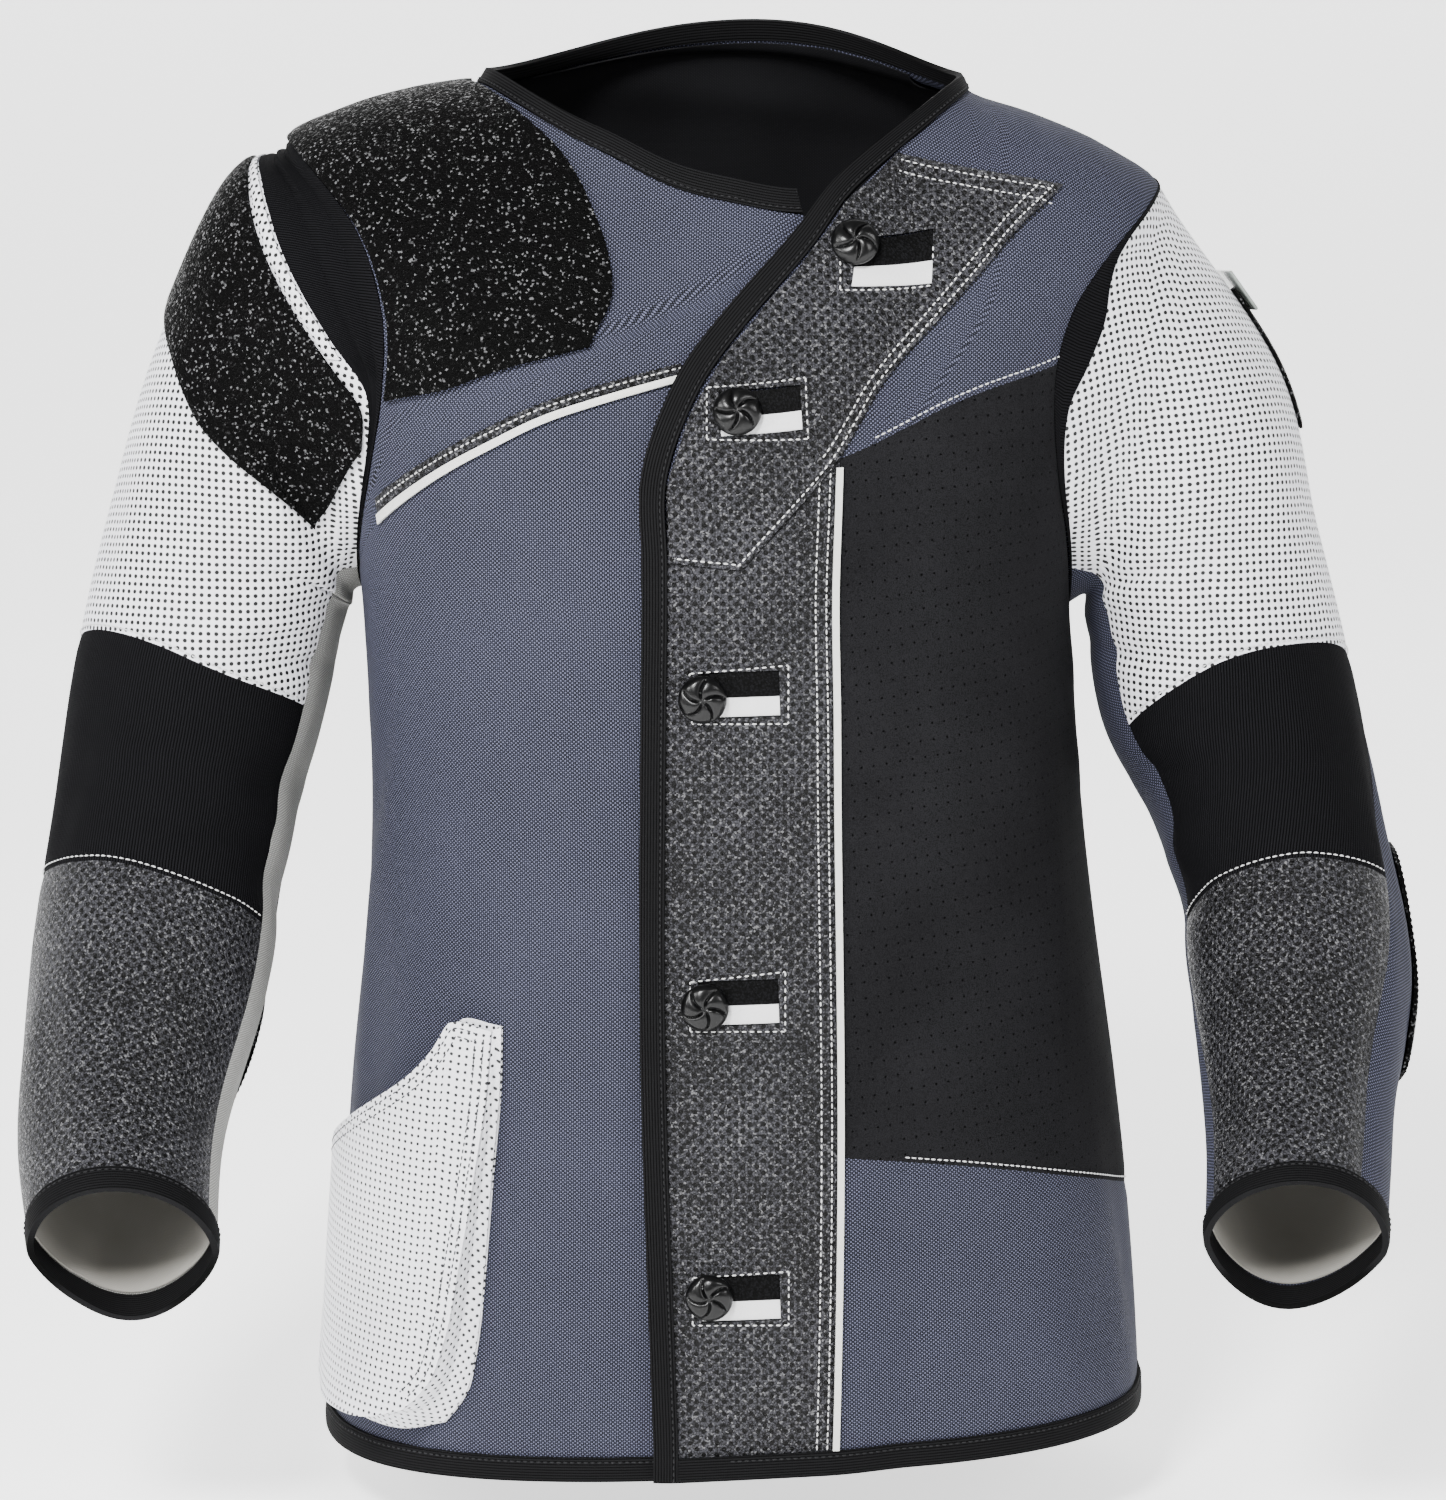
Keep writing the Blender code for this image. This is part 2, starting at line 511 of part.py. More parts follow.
def wall(name, form, spots, inner, outer, look, ring=False, mitres=(), pull=SEAM_GAP / 2):
    """A closed sheet of cloth over the form, from inner to outer millimetres off it."""
    base = form.at(spots)
    normals = unit(form.read(form.normals, spots))
    for places, directions in mitres:
        apart = np.linalg.norm(base[..., None, :] - places, axis=-1)
        nearest = apart.argmin(axis=-1)
        on_seam = apart.min(axis=-1) < SEAM_GAP
        normals = np.where(on_seam[..., None], directions[nearest], normals)
    faces_out = pulled_in(base + normals * np.asarray(outer)[..., None], ring, pull)
    faces_in = pulled_in(base + normals * np.asarray(inner)[..., None], ring, pull)
    return add(name, closed_sheet(name, faces_out, faces_in, ring), look)


def standing(form, spots, bases, floor):
    """How far off the form a piece lies to clear the panels under it, and at least the floor."""
    points, normals = form.at(spots) * MM, unit(form.read(form.normals, spots))
    trees = []
    for base in bases:
        mesh = bpy.data.objects[base].data
        trees.append(BVHTree.FromPolygons([v.co for v in mesh.vertices], [f.vertices for f in mesh.polygons]))
    high = np.zeros(spots.shape[:2]) + floor
    for place in np.ndindex(high.shape):
        normal = Vector(normals[place])
        start = Vector(points[place]) + normal * REACH * MM
        for tree in trees:
            distance = tree.ray_cast(start, -normal, 2 * REACH * MM)[3]
            if distance is not None:
                high[place] = max(high[place], REACH - distance / MM)
    return high + OVERLAY_GAP


def overlay(name, form, spots, bases, thick, look, more=0.0, floor=0.0):
    """A closed sheet that lies on panels."""
    low = standing(form, spots, bases, floor) + more
    return wall(name, form, spots, low, low + thick, look)


def build_back(jacket):
    """One back from side seam to side seam, its bound neck and hem, and the lining at the neck."""
    torso = jacket.torso
    low, hem = hem_lines(0.5, 1.5, 16)
    neck = curve(BACK_NECK, 16, COLUMN_MM)
    sides = {}
    for side in (-1, 1):
        hole = armhole(side, armhole_turns(90, 270)[::-1])
        if side < 0:
            hole[:, 0] += 2
        start, end = (hem[0], neck[0]) if side > 0 else (hem[-1], neck[-1])
        up = curve((start, hole[0]), 9, COLUMN_MM)
        over = curve((hole[-1], end), 3, COLUMN_MM)
        sides[side] = join(up, hole, over)
    panel = patch(hem, neck, sides[1], sides[-1])
    wall("back", torso, panel, -CLOTH, 0, "canvas", mitres=jacket.mitres)
    wall("hem_binding_back", torso, np.stack([low, hem]), TAPE_IN, TAPE_OUT, "tape")
    edge = neck + (0, TAPE_WIDTH)
    wall("neck_binding_back", torso, np.stack([neck, edge]), TAPE_IN, TAPE_OUT, "tape")
    lining = panel[-LINING_ROWS:-1, 3:-3]
    lining = np.concatenate([lining, panel[-1:, 3:-3] - (0, 1.0)])
    wall("neck_lining", torso, lining, *NECK_LINING, "black lining")


def build_right_front(jacket):
    """Lower canvas, shoulder canvas, the piped seam between them, the bound edges and the shoulder pad."""
    torso = jacket.torso
    hole = armhole(-1, armhole_turns(-90, TIP_TURN))
    turns = armhole_turns(-90, TIP_TURN)
    yoke_side, low_side = hole[turns >= YOKE_TURN], hole[turns <= YOKE_TURN]
    line = np.concatenate([yoke_side[:1], jacket.front(RIGHT_PIPING)])
    seam = curve(line, 9, COLUMN_MM)
    low, hem = hem_lines(-0.5, jacket.front((UNDERLAP, TAPE_WIDTH))[0], 9)
    up = curve((hem[0], hole[0]), 9, COLUMN_MM)
    left = join(up, low_side)
    right = curve((hem[-1], seam[-1]), len(left) - 1, COLUMN_MM)
    wall("right_front", torso, patch(hem, seam, left, right), -CLOTH, 0, "canvas", mitres=jacket.mitres)
    wall("hem_binding_right", torso, np.stack([low, hem]), TAPE_IN, TAPE_OUT, "tape")

    shoulder_neck = np.array([-0.5, RIGHT_NECK_END])
    neck = curve(np.concatenate([jacket.front(RIGHT_NECK), [shoulder_neck]]), len(yoke_side) - 4, COLUMN_MM)
    edge = join(curve((seam[-1], neck[0]), 3, COLUMN_MM), neck)
    top = curve((yoke_side[-1], shoulder_neck), 9, COLUMN_MM)
    wall("right_shoulder", torso, patch(seam, top, yoke_side, edge), -CLOTH, 0, "canvas", mitres=jacket.mitres)
    wall("neck_binding_right", torso, np.stack([neck, neck + (0, TAPE_WIDTH)]), TAPE_IN, TAPE_OUT, "tape")

    line = curve(line, 30, COLUMN_MM)
    line = line[(jacket.across(line) > TRIM_START) & (jacket.across(line) < TRIM_END)]
    for name, low, high, thick, look in TRIMS:
        spots = np.stack([line + (0, low), line + (0, high)])
        overlay(name, torso, spots, ("right_front", "right_shoulder"), thick, look)
    build_chest_pad(jacket)


def build_chest_pad(jacket):
    """Rubber pad over the right shoulder, from the chest to just behind the shoulder seam."""
    side = armhole(-1, np.linspace(-2, 86, 11))
    side[:, 0] += PAD_INSET
    bottom = curve(np.concatenate([side[:1], jacket.front(PAD_BOTTOM[1:])]), 10, COLUMN_MM)
    inner = jacket.front(PAD_INNER)
    behind = -PAD_BACK / 2
    end_low, end_high = (behind, PAD_BACK_ROWS[0]), (behind, PAD_BACK_ROWS[1])
    outer_edge = join(side, curve((side[-1], end_low), 3, COLUMN_MM))
    inner_edge = curve(np.concatenate([inner, [end_high]]), len(outer_edge) - 1, COLUMN_MM)
    top = curve((end_low, end_high), 10, COLUMN_MM)
    spots = patch(bottom, top, outer_edge, inner_edge)
    overlay("chest_pad", jacket.torso, spots, ("right_shoulder", "back"), RUBBER, "rubber", PAD_GAP)


def halved(line):
    """The line with a point midway in each of its cells."""
    places = np.linspace(0, len(line) - 1, 2 * len(line) - 1)
    return np.stack([np.interp(places, np.arange(len(line)), line[:, a]) for a in range(2)], axis=-1)


def shifted(jacket, line, distance):
    """A line of the front moved sideways in its surface, to the right of its run for a distance above 0."""
    line = np.stack([jacket.across(line), line[:, 1]], axis=-1)
    step = np.gradient(line, axis=0)
    return jacket.front(line + unit(np.stack([step[:, 1], -step[:, 0]], axis=-1)) * distance)


def placket_line(ends, first, last, cells):
    """Places on the placket's seam between two rows, bowed out between its ends."""
    rows = np.linspace(first, last, cells + 1)
    share = (rows - ends[0][1]) / (ends[1][1] - ends[0][1])
    bow = PLACKET_BOW / COLUMN_MM * 4 * share * (1 - share)
    return np.stack([ends[0][0] + (ends[1][0] - ends[0][0]) * share + bow, rows], axis=-1)


def build_left_front(jacket):
    """Shoulder canvas, suede chest, lower canvas, placket, its flap and piping, and the bound edges."""
    torso = jacket.torso
    turns = armhole_turns(-90, TIP_TURN)
    hole = armhole(1, turns)
    chest_side, shoulder_side = hole[turns <= CHEST_TURN], hole[turns >= CHEST_TURN]
    suede_top = curve(np.concatenate([jacket.front(SUEDE_TOP), chest_side[-1:]]), 7, COLUMN_MM)
    edge = curve(jacket.front(LEFT_EDGE), len(shoulder_side) - 1, COLUMN_MM)
    placket_top = curve((edge[0], suede_top[0]), 3, COLUMN_MM)
    edge_column, seam_column = jacket.front(((LEFT_EDGE_BOTTOM, TAPE_WIDTH), (PLACKET_SEAM, TAPE_WIDTH)))[:, 0]
    low_placket, hem_placket = hem_lines(edge_column, seam_column, 3)
    low_left, hem_left = hem_lines(seam_column, 0.5, 7)
    ends = hem_left[0], suede_top[0]
    suede_front = placket_line(ends, SUEDE_BOTTOM[0], suede_top[0, 1], 8 + len(chest_side) - 1)
    suede_low = curve((suede_front[0], jacket.front(SUEDE_BOTTOM[1]), (0.5, SUEDE_SIDE)), 7, COLUMN_MM)

    def panel(name, bottom, top, left, right, look):
        spots = patch(bottom, top, left, right)
        lift = jacket.lap(spots)
        wall(name, torso, spots, lift - CLOTH, lift, look, mitres=jacket.mitres)

    suede_side = join(curve((suede_low[-1], chest_side[0]), 8, COLUMN_MM), chest_side)
    panel("left_chest", suede_low, suede_top, suede_front, suede_side, "suede")
    skirt_front = placket_line(ends, hem_left[0, 1], SUEDE_BOTTOM[0], 4)
    skirt_side = curve((hem_left[-1], suede_low[-1]), 4, COLUMN_MM)
    panel("left_skirt", hem_left, suede_low, skirt_front, skirt_side, "canvas")

    placket_edge = curve((hem_placket[0], jacket.front((-30, 250)), placket_top[0]), 13, COLUMN_MM)
    placket_seam = placket_line(ends, hem_placket[-1, 1], placket_top[-1, 1], 13)
    panel("placket", hem_placket, placket_top, placket_edge, placket_seam, "charcoal leather")

    flap_end, shoulder_neck = jacket.front(FLAP_END), (0.5, LEFT_NECK_END)
    neck = join(curve((edge[-1], flap_end), 1, COLUMN_MM), curve((flap_end, shoulder_neck), 4, COLUMN_MM))
    top = join(neck, curve((neck[-1], shoulder_side[-1]), 5, COLUMN_MM))
    panel("left_shoulder", join(placket_top, suede_top), top, edge, shoulder_side, "canvas")

    hem = np.stack([join(low_placket, low_left), join(hem_placket, hem_left)])
    build_left_bindings(jacket, hem, join(placket_edge, edge, neck))
    build_flap(jacket, join(placket_edge[-2:], edge, neck[:2]))
    line = placket_line(ends, 14, PLACKET_TOP - 4, 18)
    spots = np.stack([shifted(jacket, line, -PIPING_HALF), shifted(jacket, line, PIPING_HALF)], axis=1)
    bases = ("placket", "left_chest", "left_skirt")
    overlay("left_piping", torso, spots, bases, 1.8, "piping", floor=jacket.lap(spots))


def build_left_bindings(jacket, hem, edge):
    """Tape along the hem, up the front edge and round the neck to the shoulder."""
    lift = jacket.lap(hem)
    wall("hem_binding_left", jacket.torso, hem, lift + TAPE_IN, lift + TAPE_OUT, "tape")
    inside = np.concatenate([hem[0, :1], edge])
    outside = shifted(jacket, inside, -TAPE_WIDTH)
    outside[0, 1], outside[-1] = inside[0, 1], inside[-1] + (0, TAPE_WIDTH)
    spots = np.stack([outside, inside], axis=1)
    lift = jacket.lap(spots)
    wall("front_binding_left", jacket.torso, spots, lift + TAPE_IN, lift + TAPE_OUT, "tape")


def build_flap(jacket, edge):
    """Pointed leather flap over the top of the placket and the left shoulder, along their bound edge."""
    left = shifted(jacket, halved(edge), FLAP_INSET)
    right = curve(jacket.front(FLAP_RIGHT), len(left) - 1, COLUMN_MM)
    spots = patch(curve((left[0], right[0]), 6, COLUMN_MM), curve((left[-1], right[-1]), 6, COLUMN_MM), left, right)
    bases = ("placket", "left_shoulder", "left_chest")
    overlay("placket_flap", jacket.torso, spots, bases, PATCH, "charcoal leather", floor=jacket.lap(spots))


def front_patch(jacket, across, row, wide, high, tilt, cells):
    """A small turned rectangle of places on the left front."""
    c, s = math.cos(math.radians(tilt)), math.sin(math.radians(tilt))
    x, y = np.meshgrid(np.linspace(-wide / 2, wide / 2, cells + 1), (-high / 2, high / 2))
    return jacket.front(np.stack([across + x * c - y * s, row + x * s + y * c], axis=-1))


def cut(piece, cutter):
    """Cuts a hole in a piece with a hidden cutter."""
    bpy.data.collections["shooting_jacket"].objects.unlink(cutter)
    bpy.data.collections["cutters"].objects.link(cutter)
    cutter.hide_render = True
    cutter.display_type = "WIRE"
    modifier = piece.modifiers.new(cutter.name, "BOOLEAN")
    modifier.operation = "DIFFERENCE"
    modifier.solver = "EXACT"
    modifier.object = cutter


def build_buttons(jacket):
    """Each button with its window in the leather and the dark and white lips of its slit."""
    torso = jacket.torso
    for k, (across, row, hole_across, hole_row, wide, high, tilt) in enumerate(BUTTONS, start=1):
        leather = bpy.data.objects["placket_flap" if k <= FLAP_BUTTONS else "placket"]
        floor = OVERLAY_GAP if k <= FLAP_BUTTONS else -CLOTH
        hole = front_patch(jacket, hole_across, hole_row, wide, high, tilt, 3)
        lift = jacket.lap(hole) + floor
        cutter = wall(f"window_{k}", torso, hole, lift - CUTTER_BELOW, lift + CUTTER_ABOVE, "horn")
        cut(leather, cutter)
        free = high - 4 * SEAM_GAP
        dark = free * DARK_SHARE
        turn = math.radians(tilt)
        for name, tall, middle, look in (
            (f"button_lip_dark_{k}", dark, high / 2 - SEAM_GAP - dark / 2, "charcoal leather"),
            (f"button_lip_white_{k}", free - dark, (free - dark) / 2 + SEAM_GAP - high / 2, "white leather"),
        ):
            at = hole_across - middle * math.sin(turn), hole_row + middle * math.cos(turn)
            spots = front_patch(jacket, *at, wide - SEAM_GAP, tall, tilt, 3)
            low = jacket.lap(spots) + floor + LIP_SINK
            wall(name, torso, spots, low, low + LIP_WALL, look)
        top = OVERLAY_GAP + PATCH if k <= FLAP_BUTTONS else 0.0
        add_button(jacket, f"button_{k}", (across, row), top + SEAM_GAP)


def add_button(jacket, name, place, seat):
    """A low dome, flat behind, that stands on the leather."""
    spot = jacket.front(place)
    normal = Vector(unit(jacket.torso.read(jacket.torso.normals, spot)))
    side = (Vector((1, 0, 0)) - normal * normal.x).normalized()
    turned = Matrix((side, normal.cross(side), normal)).transposed().to_4x4()
    middle = jacket.torso.at(spot, jacket.lap(spot) + seat + BUTTON_HEIGHT * BUTTON_BELLY) * MM
    bpy.ops.mesh.primitive_uv_sphere_add(segments=14, ring_count=7, radius=BUTTON_RADIUS * MM)
    button = bpy.context.active_object
    button.name = button.data.name = name
    for vertex in button.data.vertices:
        share = BUTTON_BELLY if vertex.co.z < 0 else 1 - BUTTON_BELLY
        vertex.co.z *= share * BUTTON_HEIGHT / BUTTON_RADIUS
    bpy.ops.object.shade_smooth()
    button.matrix_world = Matrix.Translation(Vector(middle)) @ turned
    for home in button.users_collection:
        home.objects.unlink(button)
    bpy.data.collections["shooting_jacket"].objects.link(button)
    button.data.materials.append(material("horn"))


def build_gusset(jacket, side, word):
    """Ring of stretch cloth that joins the sleeve to the armhole."""
    turns = armhole_turns(-90, 269)
    edge = jacket.gusset_edge(side, turns)
    shares = np.linspace(0, 1, 3)[:, None]
    spots = np.stack([np.broadcast_to(turns, (3, len(turns))), edge * shares], axis=-1)
    tuck = -GUSSET_TUCK * np.maximum(edge - GUSSET_LEAST, 0) * np.sin(np.pi * shares)
    wall(
        f"armhole_gusset_{word}", jacket.sleeves[side], spots, tuck - CLOTH, tuck, "knit",
        ring=True, mitres=jacket.mitres, pull=GUSSET_PULL,
    )


def seam_line(table, rows):
    """Places down a sleeve along a seam given as (row, turn)."""
    table = np.array(table, float)
    return np.stack([smooth(table[:, 0], table[:, 1], rows), rows], axis=-1)


def across_sleeve(table, cells):
    """Places across a sleeve through a seam given as (turn, row), with evenly spaced turns."""
    table = np.array(table, float)
    turns = np.linspace(table[0, 0], table[-1, 0], cells + 1)
    return np.stack([turns, smooth(table[:, 0], table[:, 1], turns)], axis=-1)


def cuff_rows(spots, width):
    """The same turns on the line that runs this far above the slanted edge of the cuff."""
    rows = CUFF_EDGE - width - CUFF_SLANT * np.cos(np.radians(spots[:, 0]))
    return np.stack([spots[:, 0], rows], axis=-1)


def build_sleeve(jacket, side, word):
    """White leather, knit elbow band and forearm leather in front, one canvas strip behind, and the cuff."""
    form = jacket.sleeves[side]
    inner, outer = INNER_SEAM[side], OUTER_SEAM[side]
    head_turns = armhole_turns(inner[0][1], outer[0][1])
    head = np.stack([head_turns, jacket.gusset_edge(side, head_turns)], axis=-1)
    cells = len(head_turns) - 1
    top, end = across_sleeve(BAND_TOP[side], cells), across_sleeve(BAND_END[side], cells)
    cuff_in, cuff_out = (seam_line(seam, np.array([CUFF_SEAM]))[0] for seam in (inner, outer))
    cuff = cuff_rows(np.linspace(cuff_in, cuff_out, cells + 1), CUFF_TAPE)

    def edge(table, start, stop, count):
        line = seam_line(table, np.linspace(start[1], stop[1], count + 1))
        line[0], line[-1] = start, stop
        return line

    for name, above, below, count, look in (
        ("sleeve_leather", head, top, SLEEVE_CELLS[0], "white leather"),
        ("elbow_band", top, end, SLEEVE_CELLS[1], "knit"),
        ("forearm", end, cuff, SLEEVE_CELLS[2], "charcoal leather"),
    ):
        sides = (edge(inner, above[0], below[0], count), edge(outer, above[-1], below[-1], count))
        spots = patch(above, below, *sides)
        wall(f"{name}_{word}", form, spots, -CLOTH, 0, look)

    back_turns = armhole_turns(outer[0][1], 360 + inner[0][1])
    back_head = np.stack([back_turns, jacket.gusset_edge(side, back_turns)], axis=-1)
    cells = len(back_turns) - 1
    back_cuff = cuff_rows(np.linspace(cuff_out, cuff_in + (360, 0), cells + 1), CUFF_TAPE)
    marks = (head, top, end, cuff)
    front_out = join(*(edge(outer, a[-1], b[-1], n) for a, b, n in zip(marks, marks[1:], SLEEVE_CELLS)))
    front_in = join(*(edge(inner, a[0], b[0], n) for a, b, n in zip(marks, marks[1:], SLEEVE_CELLS)))
    behind = patch(back_head, back_cuff, front_out, front_in + (360, 0))
    wall(f"sleeve_back_{word}", form, behind, -CLOTH, 0, "pale canvas" if side < 0 else "canvas")

    whole = np.concatenate([spots, behind[-len(spots):, 1:-1]], axis=1)
    seam = whole[-1]
    rim = cuff_rows(seam, 0.0)
    wall(f"cuff_binding_{word}", form, np.stack([seam, rim]), TAPE_IN, TAPE_OUT, "tape", ring=True)
    lining = np.concatenate([whole[-CUFF_LINING_ROWS:-1], whole[-1:] - (0, 1.0)])
    wall(f"cuff_lining_{word}", form, lining, *CUFF_LINING, "lining", ring=True)
    build_elbow_pad(jacket, side, word)


def build_elbow_pad(jacket, side, word):
    """Rubber pad behind the elbow, drawn in at its waist."""
    start, stop, first, last = ELBOW_PAD[side]
    shares = np.linspace(0, 1, 11)[:, None]
    waist = 1 - ELBOW_PAD_WAIST * np.sin(np.pi * shares) ** 2 - ELBOW_PAD_ENDS * np.abs(2 * shares - 1) ** 6
    across = np.linspace(-1, 1, 11)[None, :]
    turns = (start + stop) / 2 + (stop - start) / 2 * across * waist
    rows = first + (last - first) * shares + 0 * across
    spots = np.stack([turns, rows], axis=-1)
    overlay(f"elbow_pad_{word}", jacket.sleeves[side], spots, (f"sleeve_back_{word}",), RUBBER, "rubber", PAD_GAP)


def build_sleeve_pad(jacket):
    """Rubber pad and edge strip at the head of the right sleeve."""
    turns = np.linspace(EDGE_STRIP_TURN, SLEEVE_PAD_END, 17)
    near = np.stack([turns, jacket.gusset_edge(-1, turns) + EDGE_STRIP_START], axis=-1)
    far = near + (0, EDGE_STRIP_WIDTH)
    bases = ("sleeve_leather_right", "sleeve_back_right")
    overlay("sleeve_edge_strip_right", jacket.sleeves[-1], np.stack([near, far]), bases, 1.0, "white leather")
    first = SLEEVE_PAD_INNER[0][0]
    turns = np.linspace(first, SLEEVE_PAD_END, 12)
    beside = EDGE_STRIP_WIDTH * ease((turns - first) / (EDGE_STRIP_TURN - first)) + EDGE_STRIP_START + 1
    start = jacket.gusset_edge(-1, turns) + beside
    bottom = np.stack([turns, start], axis=-1)
    top = curve(SLEEVE_PAD_FAR, 11, TURN_MM)
    left = curve((bottom[0], SLEEVE_PAD_INNER[1], top[0]), 6, TURN_MM)
    right = curve((bottom[-1], top[-1]), 6, TURN_MM)
    overlay("sleeve_pad_right", jacket.sleeves[-1], patch(bottom, top, left, right), bases, RUBBER, "rubber", PAD_GAP)


def add_box(name, size, matrix, look):
    """A block of this size in millimetres."""
    mesh = bpy.data.meshes.new(name)
    shape = bmesh.new()
    bmesh.ops.create_cube(shape, size=MM)
    bmesh.ops.scale(shape, vec=size, verts=shape.verts)
    shape.to_mesh(mesh)
    shape.free()
    block = add(name, mesh, look)
    block.matrix_world = matrix
    return block


def build_strap(jacket):
    """Sling strap on the outer left sleeve and the clear plate at its top."""
    form = jacket.sleeves[1]
    turns = np.linspace(STRAP_TURN - STRAP_HALF, STRAP_TURN + STRAP_HALF, 4)
    rows = np.linspace(*STRAP_ROWS, 7)
    spots = np.stack(np.meshgrid(turns, rows), axis=-1)
    overlay("sling_strap", form, spots, ("sleeve_leather_left", "sleeve_back_left"), STRAP_WALL, "knit")
    out = OVERLAY_GAP + STRAP_WALL
    spot = np.array([STRAP_TURN, STRAP_ROWS[0] + 6])
    place = form.at(spot, out + PLATE_GAP + PLATE_WALL / 2) * MM
    normal = Vector(unit(form.read(form.normals, spot)))
    down = Vector(unit(form.at(spot + (0, 6)) - form.at(spot)))
    down = (down - normal * down.dot(normal)).normalized()
    turned = Matrix((normal.cross(down), -down, normal)).transposed().to_4x4()
    matrix = Matrix.Translation(Vector(place)) @ turned
    add_box("sling_plate", (PLATE_WIDE, PLATE_LONG, PLATE_WALL), matrix, "clear")


def build_pocket(jacket):
    """Bellows pocket: a back piece on the canvas, a face that stands off it, and the folded side between."""
    torso = jacket.torso

    def edges(outer, low, side):
        right = curve(jacket.front(outer), 9, COLUMN_MM)
        bottom = curve(jacket.front(low[::-1]), 10, COLUMN_MM)
        left = curve(jacket.front(side[::-1]), 9, COLUMN_MM)
        top = curve(np.concatenate([jacket.front(POCKET_MOUTH[::-1]), right[:1]]), 10, COLUMN_MM)
        return patch(bottom, top, left, right[::-1])

    back = edges(POCKET_OUTER, POCKET_LOW, POCKET_SIDE)
    overlay("pocket_back", torso, back, ("right_front",), POCKET_WALL, "white leather", POCKET_GAP)
    face = edges(FACE_OUTER, FACE_LOW, FACE_SIDE)
    up = np.linspace(0, 1, face.shape[0])[:, None]
    across = np.linspace(0, 1, face.shape[1])[None, :]
    seat = OVERLAY_GAP + POCKET_GAP + POCKET_WALL + POCKET_TOP_STAND
    sag = POCKET_LEFT_STAND + (POCKET_LOW_STAND - POCKET_LEFT_STAND) * ease(across * POCKET_SPREAD)
    stand = seat + sag * (1 - up) ** 0.8 + POCKET_MOUTH_STAND * np.sin(np.pi * across) * up ** 1.5
    wall("pocket_face", torso, face, stand, stand + PATCH, "white leather")

    outer_line, face_line = rim(back), rim(face)
    low = OVERLAY_GAP + POCKET_GAP + POCKET_WALL + SEAM_GAP
    top = np.maximum(rim(stand) - BELLOWS_GAP, low + 1)
    shares = np.linspace(0, 1, 4)[:, None]
    tuck = BELLOWS_TUCK * np.array((0.1, 1, 0.4, 0.1))[:, None] * (top - low) / POCKET_LOW_STAND
    line = outer_line + (face_line - outer_line) * shares[..., None]
    inwards = unit((face.reshape(-1, 2).mean(axis=0) - line) * (COLUMN_MM, 1)) / (COLUMN_MM, 1)
    outer = torso.at(line + inwards * tuck[..., None], low + (top - low) * shares)
    inner = torso.at(line + inwards * (tuck + POCKET_WALL)[..., None], low + (top - low) * shares)
    add("pocket_bellows", closed_sheet("pocket_bellows", outer, inner), "white leather")


def rim(grid):
    """The right, bottom and left edges of a grid, in one run."""
    return np.concatenate([grid[::-1, -1], grid[0, -2:0:-1], grid[:, 0]])


def main():
    for thing in list(bpy.data.objects):
        bpy.data.objects.remove(thing)
    for name in ("shooting_jacket", "cutters"):
        bpy.context.scene.collection.children.link(bpy.data.collections.new(name))
    jacket = Jacket()
    build_back(jacket)
    build_right_front(jacket)
    build_left_front(jacket)
    build_buttons(jacket)
    for side, word in ((-1, "right"), (1, "left")):
        build_gusset(jacket, side, word)
        build_sleeve(jacket, side, word)
    build_sleeve_pad(jacket)
    build_strap(jacket)
    build_pocket(jacket)


main()
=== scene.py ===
"""A shooting jacket dressed for the camera: fine cloth, leather, rubber and stitches over the fixed frame.

Sizes are in millimetres and are turned to metres as each mesh is made. The forms and the seams are the
part's own, so each dressed piece lies where its solid is. -Y is the front, +X the wearer's left.
A place on the torso is (column, row): column -1 and 1 are the centre back, 0 the centre front, and row
is the height up the cloth from the hem. A place on a sleeve is (turn, row): turn 0 is the front, 90 the
outer side, 180 the back, and row runs down from the armhole.
"""
import logging
import math
from collections.abc import Callable, Sequence
from dataclasses import dataclass, field, replace
from enum import Enum, IntEnum

import bpy
import numpy as np
from mathutils import Matrix, Vector
from mathutils.bvhtree import BVHTree


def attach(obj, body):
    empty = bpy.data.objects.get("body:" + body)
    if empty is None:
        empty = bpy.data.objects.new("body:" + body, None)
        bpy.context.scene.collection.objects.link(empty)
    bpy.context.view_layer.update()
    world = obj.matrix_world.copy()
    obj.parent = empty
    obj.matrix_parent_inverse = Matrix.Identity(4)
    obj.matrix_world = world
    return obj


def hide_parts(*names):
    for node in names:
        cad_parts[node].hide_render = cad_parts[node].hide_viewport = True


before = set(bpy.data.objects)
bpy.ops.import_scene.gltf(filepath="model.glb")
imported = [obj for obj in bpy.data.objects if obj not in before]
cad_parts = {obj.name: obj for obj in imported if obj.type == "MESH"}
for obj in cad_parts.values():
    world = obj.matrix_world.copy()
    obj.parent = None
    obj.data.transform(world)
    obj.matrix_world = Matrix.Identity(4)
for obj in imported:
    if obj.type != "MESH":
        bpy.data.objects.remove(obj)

logging.basicConfig(level=logging.INFO, format="%(message)s")
LOG = logging.getLogger("shooting_jacket")
Array = np.ndarray
Table = Sequence[tuple[float, ...]]
Source = bpy.types.Node | bpy.types.NodeSocket
Piece = bpy.types.Object

